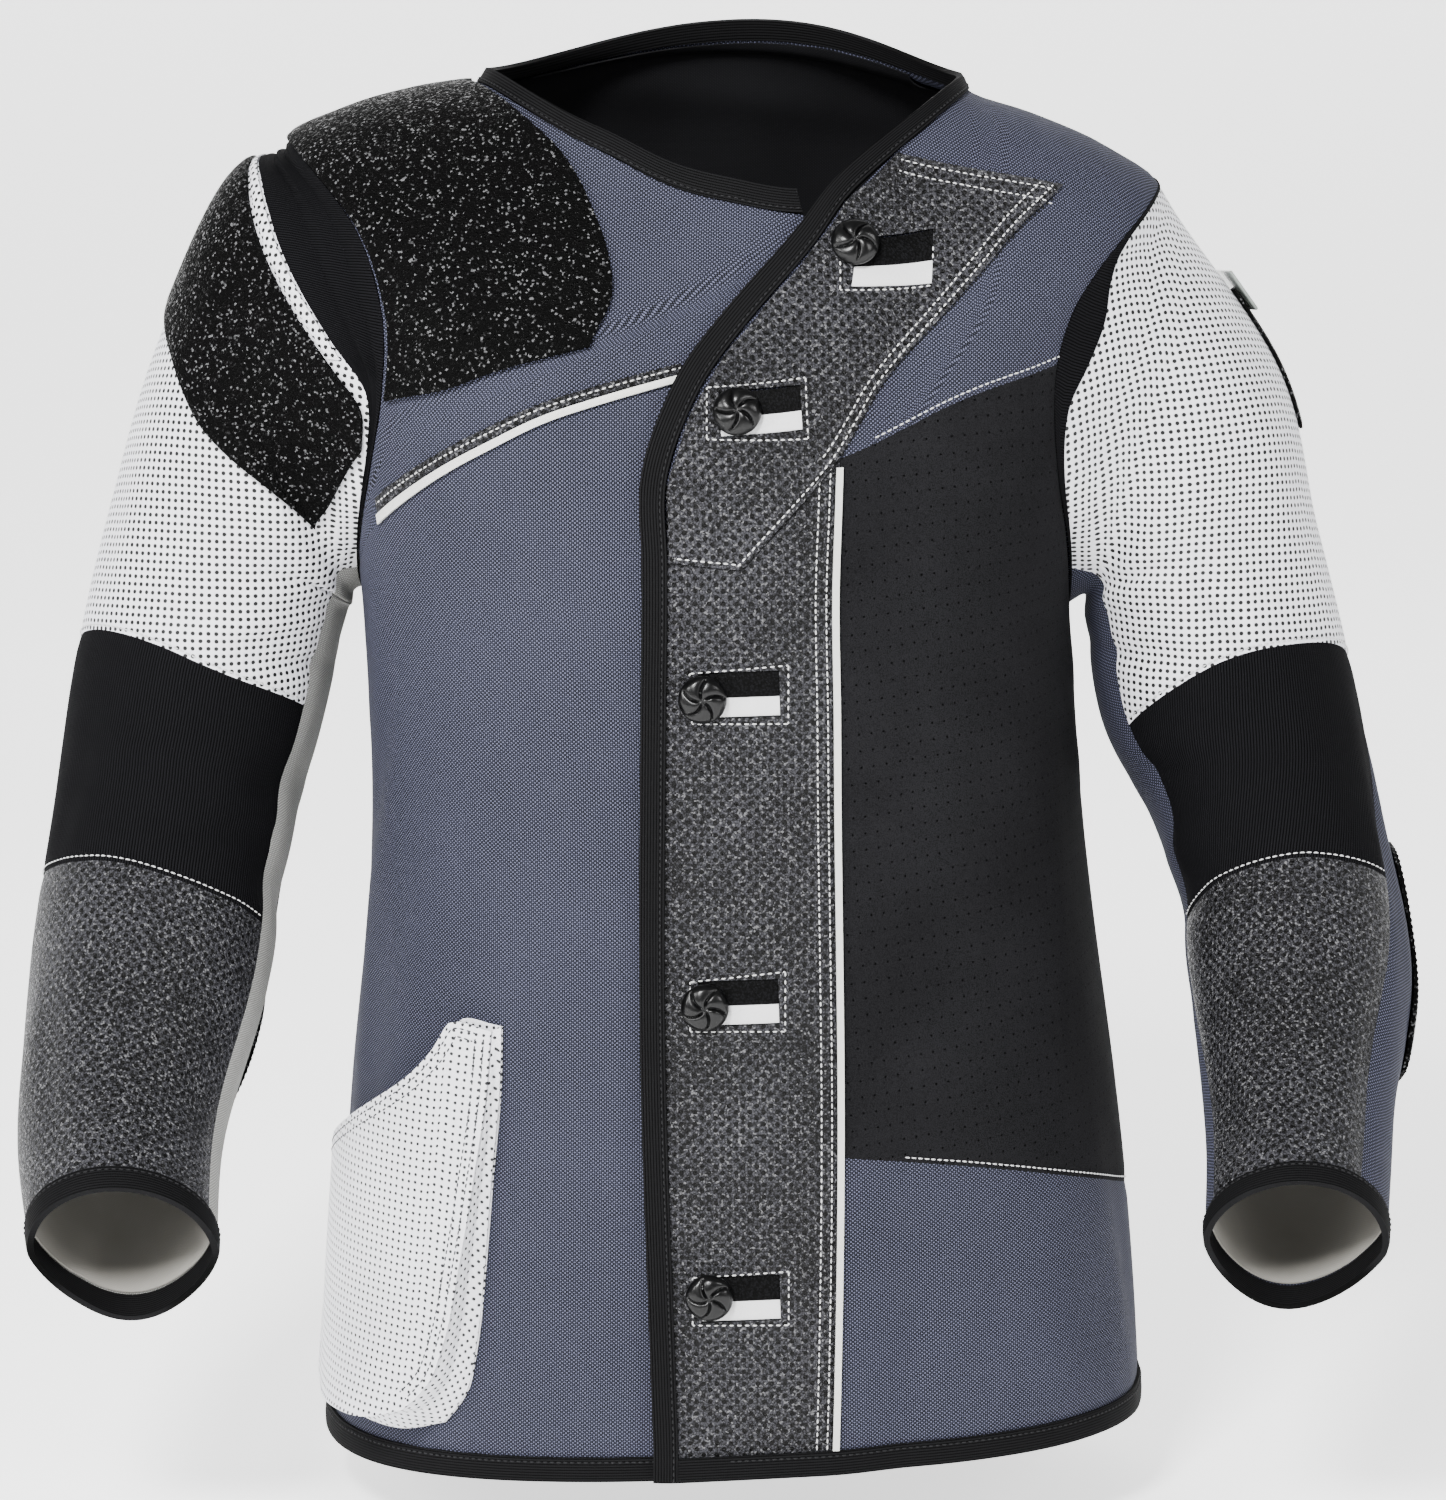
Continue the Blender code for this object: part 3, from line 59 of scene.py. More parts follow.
MM = 0.001
SEAM_GAP = 0.3
CLOTH = 1.6  # wall of canvas, leather and knit
TAPE_WIDTH = 12.0  # binding tape over an edge
TAPE_IN, TAPE_OUT, TAPE_BULGE = -2.2, 0.9, 0.4  # its faces, and how far its middle stands out
TAPE_STITCH = 2.2  # its stitches, in from its seam
OVERLAY_GAP = 0.6  # under what lies on a panel
GAP_SHARE = 0.7  # share of it that is left under dressed cloth
PAD_GAP = 0.65  # more under the wide rubber pads
REACH = 15.0  # how far off the form panels are looked for
COLUMN_MM = 560.0  # about the length of cloth in one column of the torso
TURN_MM = 1.05  # about the length of cloth in one degree of a sleeve
PATCH = 1.4  # leather laid on a panel
RUBBER_WALL = 2.4  # rubber pads
NECK_LINING = (-3.8, -3.0)  # inner and outer face of the linings
CUFF_LINING = (-3.0, -2.2)
LINING_ROWS = 9  # of the back's rows, from the neck down

# The hem as (column, row): a little lower in the right front and higher in the left one
HEM = ((-1.0, 0), (-0.5, 0), (-0.3, -4), (-0.1, -3), (0.08, 1.5), (0.3, 2.5), (0.5, 0), (1.0, 0), (1.5, 0))
HEM_BELOW = -12.0  # the torso form starts this far under the hem

# The left front lies on the right front as far as UNDERLAP, raised by LAP, and comes down to the form
# between LAP_START and LAP_END from the centre
LAP, LAP_START, LAP_END, UNDERLAP = 4.8, 45.0, 95.0, 30.0

# Rings of the torso: half widths, depths and heights. square is how square the ring is, and drop how
# quickly its height runs from the middle to the sides
TORSO_COLUMNS = "row right left front back z_front z_right z_left z_back square drop".split()
TORSO = (
    (-12, 207, 213, 142, 138, -683, -691, -680, -684, 2.50, 2.4),
    (0,   206, 212, 142, 138, -671, -678, -668, -672, 2.50, 2.4),
    (60,  200, 208, 142, 137, -610, -614, -608, -610, 2.40, 2.4),
    (170, 191, 197, 142, 132, -497, -498, -498, -498, 2.35, 2.4),
    (270, 181, 183, 142, 126, -396, -398, -398, -398, 2.35, 2.4),
    (320, 179, 177, 143, 122, -345, -345, -348, -348, 2.35, 2.4),
    (370, 181, 174, 145, 122, -295, -290, -298, -296, 2.35, 2.4),
    (425, 186, 172, 146, 126, -240, -228, -238, -236, 2.35, 2.4),
    (470, 200, 188, 144, 130, -195, -154, -168, -160, 2.30, 2.4),
    (510, 216, 204, 138, 128, -155, -80,  -96,  -85,  2.25, 2.4),
    (535, 221, 217, 130, 118, -130, -36,  -57,  -41,  2.20, 2.4),
    (560, 188, 187, 120, 104, -105, -17,  -33,  -9,   2.15, 2.6),
    (585, 153, 151, 110, 92,  -80,  -7,   -17,  13,   2.10, 2.7),
    (608, 122, 119, 100, 84,  -57,  -1,   -6,   18,   2.10, 2.8),
    (620, 118, 115, 96,  81,  -46,  6,    1,    28,   2.10, 2.8),
    (632, 114, 111, 92,  78,  -35,  13,   8,    38,   2.10, 2.8),
)
TORSO_CELLS = (127, 45, 160)  # rings, cells in a quarter ring, and steps before it is divided
SLEEVE_RINGS, TURN_STEP = 110, 2.5
# Rings of the sleeves: row, middle, lean outwards and forwards in degrees, half width, half depth, and
# how much the back of the ring is narrowed
RIGHT_SLEEVE = (
    (35,  217, 2,    -153, 74, 0,  106, 68, 0.00),
    (80,  236, 4,    -194, 55, 3,  82,  69, 0.00),
    (140, 251, 4,    -240, 25, 7,  65,  66, 0.00),
    (210, 265, -2,   -300, 12, 13, 64,  63, 0.00),
    (290, 278, -26,  -370, 8,  22, 60,  60, 0.00),
    (370, 287, -64,  -440, 4,  34, 59,  57, 0.00),
    (450, 295, -116, -502, 1,  46, 51,  51, 0.05),
    (540, 286, -186, -553, 0,  55, 44,  40, 0.28),
)
LEFT_SLEEVE = (
    (35,  201, 2,    -162, 77, 0,  97,  68, 0.00),
    (80,  226, 4,    -202, 54, 3,  79,  69, 0.00),
    (140, 238, 4,    -247, 24, 7,  63,  66, 0.00),
    (210, 251, -2,   -306, 14, 13, 64,  63, 0.00),
    (290, 274, -26,  -376, 10, 22, 55,  60, 0.00),
    (370, 284, -64,  -444, 4,  34, 55,  57, 0.00),
    (450, 278, -116, -504, -2, 46, 46,  51, 0.05),
    (540, 268, -186, -548, -4, 55, 43,  39, 0.28),
)

# The armhole on the torso as (turn, side, row), round from the underarm by the front, the shoulder and
# the back. side is 1 on the side line, less in front of it and more behind it
RIGHT_ARMHOLE = (
    (-90, 1.00, 405), (-60, 0.90, 416), (-30, 0.73, 448), (0, 0.63, 483), (30, 0.605, 512), (60, 0.68, 534),
    (90, 1.00, 541), (120, 1.17, 536), (150, 1.26, 518), (180, 1.30, 490), (210, 1.26, 450), (240, 1.12, 416),
    (270, 1.00, 405),
)
LEFT_ARMHOLE = (
    (-90, 1.00, 405), (-60, 0.86, 424), (-30, 0.69, 454), (0, 0.62, 485), (30, 0.625, 510), (60, 0.71, 530),
    (90, 1.00, 542), (120, 1.17, 538), (150, 1.26, 522), (180, 1.30, 492), (210, 1.26, 452), (240, 1.12, 416),
    (270, 1.00, 405),
)
# Points round an armhole: even steps in front and over the tip to the outer seam, wider ones behind
ARMHOLE_TURNS = np.concatenate([np.arange(-90, 106, 15.0), np.linspace(105, 270, 8)[1:]])
YOKE_TURN, CHEST_TURN, TIP_TURN = -60.0, 15.0, 90.0

# How far down the sleeve the stretch gusset reaches, as (turn, row)
RIGHT_GUSSET = (
    (-90, 3), (-30, 3), (-5, 3), (13, 13), (31, 20), (60, 23), (88, 17), (150, 14), (210, 8), (240, 4),
    (270, 3),
)
LEFT_GUSSET = (
    (-90, 3), (-20, 3), (2, 6), (24, 13), (43, 10), (63, 4), (88, 3), (150, 12), (210, 8), (240, 4), (270, 3),
)
GUSSET_LEAST = 3.0
GUSSET_TUCK = 0.22  # how deep it tucks in, as a share of its width
GUSSET_FOLD, GUSSET_FOLDS = 1.8, 3  # depth and number of its long folds

# Front lines as (across, row): across is millimetres from the centre front
RIGHT_NECK = ((36, 598), (-4, 610), (-38, 614), (-59, 616), (-102, 611))
RIGHT_NECK_END, LEFT_NECK_END = 606.0, 610.0
LEFT_EDGE = ((-29, 478), (-17, 514), (5, 547), (45, 586), (58, 596))
LEFT_EDGE_BOTTOM, PLACKET_SEAM, PLACKET_TOP = -24.0, 52.0, 488.0
RIGHT_PIPING = ((-206, 432), (-166, 451), (-120, 478), (-81, 502), (-31, 524), (30, 541))
SUEDE_TOP = ((52, 488), (107, 500))
PLACKET_BOW = 4.0  # how far the placket's seam bows out between its ends
SUEDE_BOTTOM = (156, (130, 145))  # the row at the seam, then a place on the front
SUEDE_SIDE = 108.0
FLAP_END, FLAP_INSET = (90, 604), 1.0
FLAP_RIGHT = ((6, 439), (52, 489), (80, 524), (140, 552), (184, 558))
# Back neck seam rows from the left shoulder round to the right one: it stands higher on the left
BACK_NECK = ((0.5, 610), (0.75, 613), (1.0, 608), (1.25, 604), (1.5, 606))

# Trim on the right piping seam, from one place across to another, and its edges from the seam
TRIM_START, TRIM_END = -192.0, -34.5
PIPING_HALF, PIPING_WALL = 1.6, 1.8
STRIP, STRIP_WALL = (2.2, 6.8), 1.0  # the perforated strip above it

# Chest pad of the right shoulder, as the edges of one patch
PAD_BOTTOM = ((-180, 477), (-141, 495), (-109, 513), (-66, 534))
PAD_INNER = ((-66, 534), (-56, 556), (-58, 572), (-70, 591), (-92, 603), (-119, 605))
PAD_BACK_ROWS = (548.0, 598.0)
PAD_BACK = 1.16  # how far it goes over, as side is counted in the armhole tables
PAD_INSET = 0.009  # columns between the armhole and the pad

# Seams across the sleeves as (turn, row): side is -1 for the right sleeve and 1 for the left one
BAND_TOP = {
    -1: ((-60, 215), (-9, 207), (16, 200), (48, 197), (100, 204)),
    1: ((-58, 218), (-26, 204), (-4, 196), (41, 197), (100, 210)),
}
BAND_END = {
    -1: ((-66, 344), (-31, 339), (-4, 333), (17, 328), (45, 326), (100, 325)),
    1: ((-86, 330), (-45, 321), (-17, 318), (8, 318), (25, 321), (59, 327)),
}
# Sleeve seams as (row, turn)
INNER_SEAM = {
    -1: ((0, -60), (215, -60), (344, -66), (450, -72), (512, -70)),
    1: ((0, -60), (218, -58), (269, -62), (330, -86), (450, -76), (512, -74)),
}
OUTER_SEAM = {
    -1: ((0, 105), (204, 100), (325, 100), (512, 98)),
    1: ((0, 105), (210, 98), (327, 60), (400, 41), (512, 37)),
}
CUFF_SEAM, CUFF_EDGE, CUFF_TAPE, CUFF_SLANT = 512.0, 533.0, 14.0, 7.0
SLEEVE_CELLS = (7, 4, 5)  # rows of cells in the leather, the elbow band and the forearm
CUFF_LINING_ROWS = 4
# Elbow pad from one turn to another and from one row to another, drawn in at its waist and its ends
ELBOW_PAD = {-1: (104, 252, 222, 424), 1: (82, 236, 300, 412)}
ELBOW_PAD_WAIST, ELBOW_PAD_ENDS = 0.12, 0.22
SLEEVE_PAD_FAR = ((-36, 47), (-18, 66), (26, 84), (52, 78), (84, 72), (112, 66))
SLEEVE_PAD_INNER = ((-18, 6), (-33, 24))
SLEEVE_PAD_END = 112.0
EDGE_STRIP_WIDTH, EDGE_STRIP_START, EDGE_STRIP_TURN = 3.4, 0.6, 10.0

# Pocket on the right front: face, back piece and the bellows between them
POCKET_OUTER = ((-111, 216), (-112, 184), (-116, 144), (-120, 98), (-125, 57), (-130, 37), (-142, 22))
FACE_OUTER = ((-115, 214), (-115.5, 184), (-120, 144), (-125.5, 104), (-133, 62), (-139, 45), (-151, 31))
POCKET_LOW = ((-142, 22), (-166, 16), (-190, 16), (-215, 19), (-247, 24))
FACE_LOW = ((-151, 31), (-172, 24), (-195, 23), (-218, 23), (-247, 26))
POCKET_SIDE = ((-258, 134), (-258, 60), (-247, 24))
FACE_SIDE = ((-258, 134), (-258, 60), (-247, 26))
POCKET_MOUTH = ((-136, 216), (-141, 206), (-149, 195), (-158, 186), (-170, 177), (-194, 162), (-258, 134))
# How far the face stands off the back piece: at the top tab, low on the right, on the left, and more in
# the middle of the open edge
POCKET_TOP_STAND, POCKET_LOW_STAND, POCKET_LEFT_STAND, POCKET_MOUTH_STAND = 2.0, 19.0, 2.5, 11.0
POCKET_SPREAD = 1.3  # how soon the right side's stand is reached, going across
POCKET_WALL, POCKET_GAP, BELLOWS_GAP, BELLOWS_TUCK = 1.2, 0.2, 0.7, 5.0

BUTTON_RADIUS, BUTTON_HEIGHT = 11.5, 7.0
# Buttons as (across, row), then the middle, width, height and tilt of the window under each
BUTTONS = (
    (61,  577, 81, 565, 42, 19, -12),
    (4,   511, 15, 511, 38, 20, 3),
    (-12, 378, 5,  380, 38, 22, 2),
    (-11, 230, 5,  232, 38, 22, 2),
    (-9,  90,  6,  89,  38, 22, 2),
)
FLAP_BUTTONS = 2  # the first two go through the flap
WINDOW_CELLS = 3
BUTTON_BELLY = 0.3  # share of a button's height under its widest ring
LIP_WALL, DARK_SHARE = 1.0, 0.56  # wall of a slit's lips, and the dark lip's share of the window
CUTTER = (-6.0, 9.0)  # from under the leather to over it

STRAP_TURN, STRAP_ROWS, STRAP_HALF, STRAP_WALL = 97.0, (60.0, 104.0), 13.0, 2.0
PLATE_SIZE, PLATE_BEVEL, PLATE_RISE = (32.0, 24.0, 1.68), 0.9, 0.8  # rise: its middle off the strap

# Large soft folds pressed into the forms: round, row, slant in degrees, length, width and depth
TORSO_FOLDS = (
    (-0.36, 250, 78, 240, 26, -2.5),
    (0.40, 300, 100, 260, 28, -2.5),
    (0.80, 260, 84, 330, 30, -4.0),
    (-0.82, 240, 97, 300, 32, -3.5),
    (0.98, 420, 92, 180, 26, -2.5),
    (0.30, 70, 80, 110, 24, 2.0),
    (-0.66, 120, 88, 150, 24, 3.0),
    (0.66, 110, 90, 160, 24, 3.0),
)
SLEEVE_FOLDS = (
    (-20, 160, 62, 130, 15, 2.2),
    (30, 150, 75, 120, 16, -1.8),
    (-66, 262, 8, 60, 16, -3.0),
    (-78, 318, -6, 60, 15, -3.0),
    (200, 240, 20, 90, 20, -3.0),
    (160, 330, -12, 90, 22, 3.0),
    (80, 410, 70, 120, 18, -1.6),
    (-40, 420, 82, 110, 18, 1.6),
)
CELL = 4.0  # about the size of one cell of the dressed cloth
LEAST_CELL = 0.3  # a cell counts as no shorter than this
SEAM_DIP = 0.7  # how deep a panel dips at its seams
DIP_WIDTH = 4.5
ROUND_DEEP, ROUND_WIDE = 0.5, 1.5  # how far the edges of what lies on a panel come down
STITCH_STEP, STITCH_LONG, STITCH_WIDE, STITCH_OUT = 3.3, 2.4, 0.42, 0.12
# Rings of a stitch: share of its length, share of its width and how deep it goes in
STITCH_RINGS = ((0.0, 0.45, 0.3), (0.28, 1.0, 0.0), (0.72, 1.0, 0.0), (1.0, 0.45, 0.3))
STITCH_FLAT = 0.8  # height of a stitch, as a share of its width
# A sheet is laid flat on this many points each way, in so many pushes of this share of the error
FLAT_POINTS, FLAT_PUSHES, FLAT_PUSH = 14, 500, 0.16
SMOOTH_ANGLE = math.radians(42)
CAMERA_PLACE, CAMERA_AIM, CAMERA_LENS = (-0.0025, -2.3, 0.04), (-0.0025, 0.0, -0.336), 110.7
FLOOR_HEIGHT = -0.715
SOFT = {"interpolation_type": "SMOOTHSTEP"}

# Main creases, listed in the folds' columns, as troughs (depth under 0) and soft ridges. Their
# depths are taken times these
FRONT_DEPTH, BACK_DEPTH, SLEEVE_DEPTH = 1.3, 2.2, 1.5
TORSO_CREASES = (
    (-0.30, 392, 12, 120, 9, -1.3),
    (-0.36, 372, 24, 90, 8, 1.0),
    (-0.40, 330, 60, 150, 12, -1.4),
    (-0.16, 200, 84, 240, 14, 1.0),
    (-0.24, 120, 75, 150, 11, -1.2),
    (-0.42, 200, 96, 220, 13, 1.4),
    (0.20, 250, 96, 220, 14, -1.0),
    (0.36, 396, -28, 110, 9, -1.4),
    (0.42, 352, -50, 120, 10, 1.2),
    (0.33, 210, 80, 160, 12, 1.0),
    (0.16, 60, 78, 110, 12, -1.2),
    (0.42, 90, 100, 140, 14, -1.6),
    (0.04, 330, 70, 46, 7, -0.8),
    (0.05, 160, 100, 60, 8, 0.8),
    (0.62, 380, 40, 140, 11, -1.8),
    (0.70, 300, 64, 170, 13, 1.6),
    (0.86, 200, 96, 230, 15, -1.8),
    (0.94, 330, 78, 160, 12, 1.4),
    (-0.90, 160, 84, 190, 14, -1.6),
    (-0.78, 330, 118, 160, 12, 1.6),
    (-0.64, 384, 142, 130, 10, -1.8),
    (-0.72, 90, 100, 130, 13, 1.5),
    (1.00, 560, 4, 190, 10, -1.2),
    (0.80, 480, -20, 120, 11, 1.0),
    (-0.80, 486, 24, 110, 11, 1.0),
)
RIGHT_CREASES = (
    (-38, 120, 40, 90, 6, -1.6),
    (-24, 172, 28, 80, 6, 1.4),
    (-50, 190, 14, 70, 7, -1.6),
    (64, 150, 100, 90, 10, -1.0),
    (20, 262, 6, 70, 10, 1.1),
    (-40, 300, 12, 60, 7, -1.4),
    (52, 286, 78, 90, 10, -1.0),
    (-30, 380, 70, 90, 8, 1.0),
    (40, 440, 96, 110, 10, -1.1),
    (6, 490, 30, 50, 7, 0.9),
    (140, 180, 64, 120, 10, -1.8),
    (188, 262, 8, 100, 9, -2.2),
    (172, 300, -10, 90, 9, 1.8),
    (196, 350, 14, 90, 10, -2.0),
    (214, 430, 70, 120, 10, 1.6),
    (150, 470, 100, 90, 9, -1.4),
    (230, 130, 40, 90, 9, -1.6),
)
LEFT_CREASES = (
    (-34, 96, 58, 100, 6, -2.0),
    (-16, 140, 66, 120, 7, 1.6),
    (-44, 176, 24, 80, 7, -1.6),
    (4, 168, 78, 100, 6, -1.8),
    (44, 110, 94, 110, 11, 0.9),
    (-46, 250, 10, 70, 8, -1.8),
    (-54, 288, -8, 70, 8, 1.4),
    (26, 262, 84, 80, 10, 1.0),
    (-22, 372, 78, 90, 8, -1.2),
    (22, 436, 92, 110, 9, 1.1),
    (-50, 470, 66, 80, 8, -1.2),
    (150, 170, 70, 120, 10, 1.6),
    (190, 250, 10, 100, 9, -2.2),
    (168, 292, -12, 90, 9, 1.8),
    (70, 300, 96, 120, 9, -1.6),
    (204, 356, 12, 90, 10, -2.0),
    (120, 450, 98, 110, 10, -1.4),
    (230, 120, 44, 90, 9, -1.6),
)

# Stitched frames round the button windows: corners as (across, row)
WINDOW_FRAMES = (
    ((53, 581), (103, 569), (99, 551), (53, 560)),
    ((-10, 522), (36, 525), (37, 498), (-10, 499)),
    ((-18, 390), (28, 394), (28, 366), (-17, 366)),
    ((-18, 242), (27, 247), (27, 218), (-18, 218)),
    ((-17, 99), (29, 102), (29, 76), (-17, 76)),
)


def smooth(x: Array, y: Array, at: Array) -> Array:
    """A cubic curve through the points (x, y), read at the places in at.

    Args:
        x: Places of the known points.
        y: Their values.
        at: Places to read.

    Returns:
        The values there.
    """
    x, y, at = np.asarray(x, float), np.asarray(y, float), np.asarray(at, float)
    wide = (-1,) + (1,) * (y.ndim - 1)
    step = np.diff(x)
    rise = np.diff(y, axis=0) / step.reshape(wide)
    slope = np.empty_like(y)
    before, after = step[:-1].reshape(wide), step[1:].reshape(wide)
    slope[1:-1] = (rise[:-1] * after + rise[1:] * before) / (before + after)
    slope[0], slope[-1] = rise[0], rise[-1]
    i = np.clip(np.searchsorted(x, at) - 1, 0, len(step) - 1)
    shape = at.shape + (1,) * (y.ndim - 1)
    h, t = step[i].reshape(shape), ((at - x[i]) / step[i]).reshape(shape)
    near = (1 + 2 * t) * (1 - t) ** 2 * y[i] + t * (1 - t) ** 2 * h * slope[i]
    return near + t * t * (3 - 2 * t) * y[i + 1] + t * t * (t - 1) * h * slope[i + 1]


def table_curve(table: Table, at: Array) -> Array:
    """The other columns of a table, read at places of its first one."""
    table = np.array(table, float)
    return smooth(table[:, 0], table[:, 1:].squeeze(), at)


def paired(first: Array, second: Array) -> Array:
    """Places from their two parts."""
    return np.stack([first, second], axis=-1)


def unit(vectors: Array) -> Array:
    """The vectors made one long."""
    return vectors / np.linalg.norm(vectors, axis=-1, keepdims=True)


def ease(share: Array) -> Array:
    """0 to 1 with level ends."""
    share = np.clip(share, 0, 1)
    return share * share * (3 - 2 * share)


@dataclass
class Form:
    """A smooth surface held as a lattice of points, read between them, with its outward normals."""

    rows: Array
    columns: Array
    points: Array
    round_mm: float  # millimetres of cloth to one unit across
    folds: Table  # pressed into the lattice
    creases: Table  # only the dressed cloth has them
    flipped: bool = False
    quarters: Array | None = None  # lengths of the four quarters of each ring

    def __post_init__(self) -> None:
        """Presses the folds into the lattice."""
        spots = np.stack(np.meshgrid(self.columns, self.rows), axis=-1)
        self.points = self.points + self.facing() * self.relief(self.folds, spots, 4)[..., None]
        self.normals = self.facing()

    def facing(self) -> Array:
        """Outward normals of the lattice.

        Returns:
            Normals.
        """
        across = np.gradient(self.points, axis=1)
        across[:, 0] = across[:, -1] = (self.points[:, 1] - self.points[:, -2]) / 2
        normals = unit(np.cross(across, np.gradient(self.points, axis=0)))
        return -normals if self.flipped else normals

    def relief(self, folds: Table, spots: Array, power: int) -> Array:
        """How far the folds move these places.

        Args:
            folds: Rows of a fold table.
            spots: Places on the form.
            power: How sudden a fold's ends are.

        Returns:
            Millimetres, in or out.
        """
        period = self.columns[-1] - self.columns[0]
        depth = np.zeros(spots.shape[:-1])
        for at, level, slant, length, width, deep in folds:
            apart = ((spots[..., 0] - at + period / 2) % period - period / 2) * self.round_mm
            above = spots[..., 1] - level
            c, s = math.cos(math.radians(slant)), math.sin(math.radians(slant))
            ahead, aside = apart * c + above * s, above * c - apart * s
            depth += deep * np.exp(-(aside / width) ** 2) * np.exp(-(ahead / (length / 2)) ** power)
        return depth

    def read(self, lattice: Array, spots: Array) -> Array:
        """Values between the lattice's points.

        Args:
            lattice: Values at the lattice's points.
            spots: Places on the form.

        Returns:
            Values at the places.
        """
        period = self.columns[-1] - self.columns[0]
        column = (spots[..., 0] - self.columns[0]) % period + self.columns[0]
        i = np.interp(spots[..., 1], self.rows, np.arange(len(self.rows)))
        j = np.interp(column, self.columns, np.arange(len(self.columns)))
        i0 = np.minimum(i.astype(int), len(self.rows) - 2)
        j0 = np.minimum(j.astype(int), len(self.columns) - 2)
        a, b = (i - i0)[..., None], (j - j0)[..., None]
        low = lattice[i0, j0] * (1 - b) + lattice[i0, j0 + 1] * b
        return low * (1 - a) + (lattice[i0 + 1, j0] * (1 - b) + lattice[i0 + 1, j0 + 1] * b) * a

    def outward(self, spots: Array) -> Array:
        """Outward directions at these places."""
        return unit(self.read(self.normals, np.asarray(spots, float)))

    def at(self, spots: Array, out: float | Array = 0.0) -> Array:
        """Points this far out from the form."""
        spots = np.asarray(spots, float)
        return self.read(self.points, spots) + self.outward(spots) * np.asarray(out)[..., None]

    def creased(self, spots: Array) -> Array:
        """How far the creases move the cloth at these places."""
        return self.relief(self.creases, spots, 2)


def torso_form() -> Form:
    """The body as rings from the hem to the neck, each quarter of a ring divided evenly.

    Returns:
        The form.
    """
    rows, quarter, fine = TORSO_CELLS
    levels = np.linspace(HEM_BELOW, TORSO[-1][0], rows)
    size = dict(zip(TORSO_COLUMNS[1:], table_curve(TORSO, levels).T))
    turn = np.linspace(-np.pi, np.pi, 4 * fine + 1)
    s, c = np.sin(turn), np.cos(turn)
    points, quarters = [], []
    for k in range(rows):
        power = 2 / size["square"][k]
        side = np.where(s < 0, size["right"][k], size["left"][k])
        deep = np.where(c > 0, -size["front"][k], size["back"][k])
        middle = np.where(c > 0, size["z_front"][k], size["z_back"][k])
        edge = np.where(s < 0, size["z_right"][k], size["z_left"][k])
        z = edge + (middle - edge) * np.abs(c) ** size["drop"][k]
        ring = np.stack([side * np.sign(s) * np.abs(s) ** power, deep * np.abs(c) ** power, z], axis=1)
        arc = np.concatenate([[0], np.cumsum(np.linalg.norm(np.diff(ring, axis=0), axis=1))])
        corner = arc[::fine]
        steps = [np.linspace(corner[q], corner[q + 1], quarter + 1)[:-1] for q in range(4)]
        want = np.concatenate(steps + [arc[-1:]])
        points.append(np.stack([np.interp(want, arc, ring[:, a]) for a in range(3)], axis=1))
        quarters.append(np.diff(corner))
    columns = np.linspace(-1, 1, 4 * quarter + 1)
    depths = (BACK_DEPTH if abs(crease[0]) > 0.5 else FRONT_DEPTH for crease in TORSO_CREASES)
    creases = [(*crease[:5], crease[5] * depth) for crease, depth in zip(TORSO_CREASES, depths)]
    lengths = np.array(quarters)
    return Form(levels, columns, np.array(points), COLUMN_MM, TORSO_FOLDS, creases, quarters=lengths)


def sleeve_form(torso: Form, side: int) -> Form:
    """A sleeve from its armhole on the torso down through its tilted rings.

    Args:
        torso: The body's form.
        side: -1 for the right side, 1 for the left one.

    Returns:
        The form.
    """
    turns = np.arange(-90, 270 + TURN_STEP, TURN_STEP)
    t = np.radians(turns)[:, None]
    rings, levels = [torso.at(armhole(side, turns))], [0.0]
    for row, x, y, z, lean, reach, wide, deep, pinch in RIGHT_SLEEVE if side < 0 else LEFT_SLEEVE:
        lean, reach = math.radians(lean), math.radians(reach)
        down = np.array([side * math.sin(lean), 0, -math.cos(lean)])
        outward = np.array([side * math.cos(lean), 0, math.sin(lean)])
        front = np.array([0, -math.cos(reach), 0]) - down * math.sin(reach)
        wide = wide * (1 - pinch * np.maximum(0, -np.cos(t)))
        rings.append(np.array([side * x, y, z]) + front * deep * np.cos(t) + outward * wide * np.sin(t))
        levels.append(row)
    at = np.linspace(0, levels[-1], SLEEVE_RINGS)
    creases = RIGHT_CREASES if side < 0 else LEFT_CREASES
    creases = [(*crease[:5], crease[5] * SLEEVE_DEPTH) for crease in creases]
    points = smooth(levels, np.array(rings), at)
    return Form(at, turns, points, TURN_MM, SLEEVE_FOLDS, creases, flipped=side > 0)


def armhole(side: int, turns: Array) -> Array:
    """Places on the torso of the armhole's points at these turns."""
    sides, rows = table_curve(RIGHT_ARMHOLE if side < 0 else LEFT_ARMHOLE, turns).T
    return paired(side * sides / 2, rows)


def armhole_turns(start: float, end: float) -> Array:
    """The turns of an armhole's points from start to end, as every seam on it uses them."""
    turns = np.concatenate([ARMHOLE_TURNS, ARMHOLE_TURNS[1:] + 360])
    return turns[(turns >= start) & (turns <= end)]


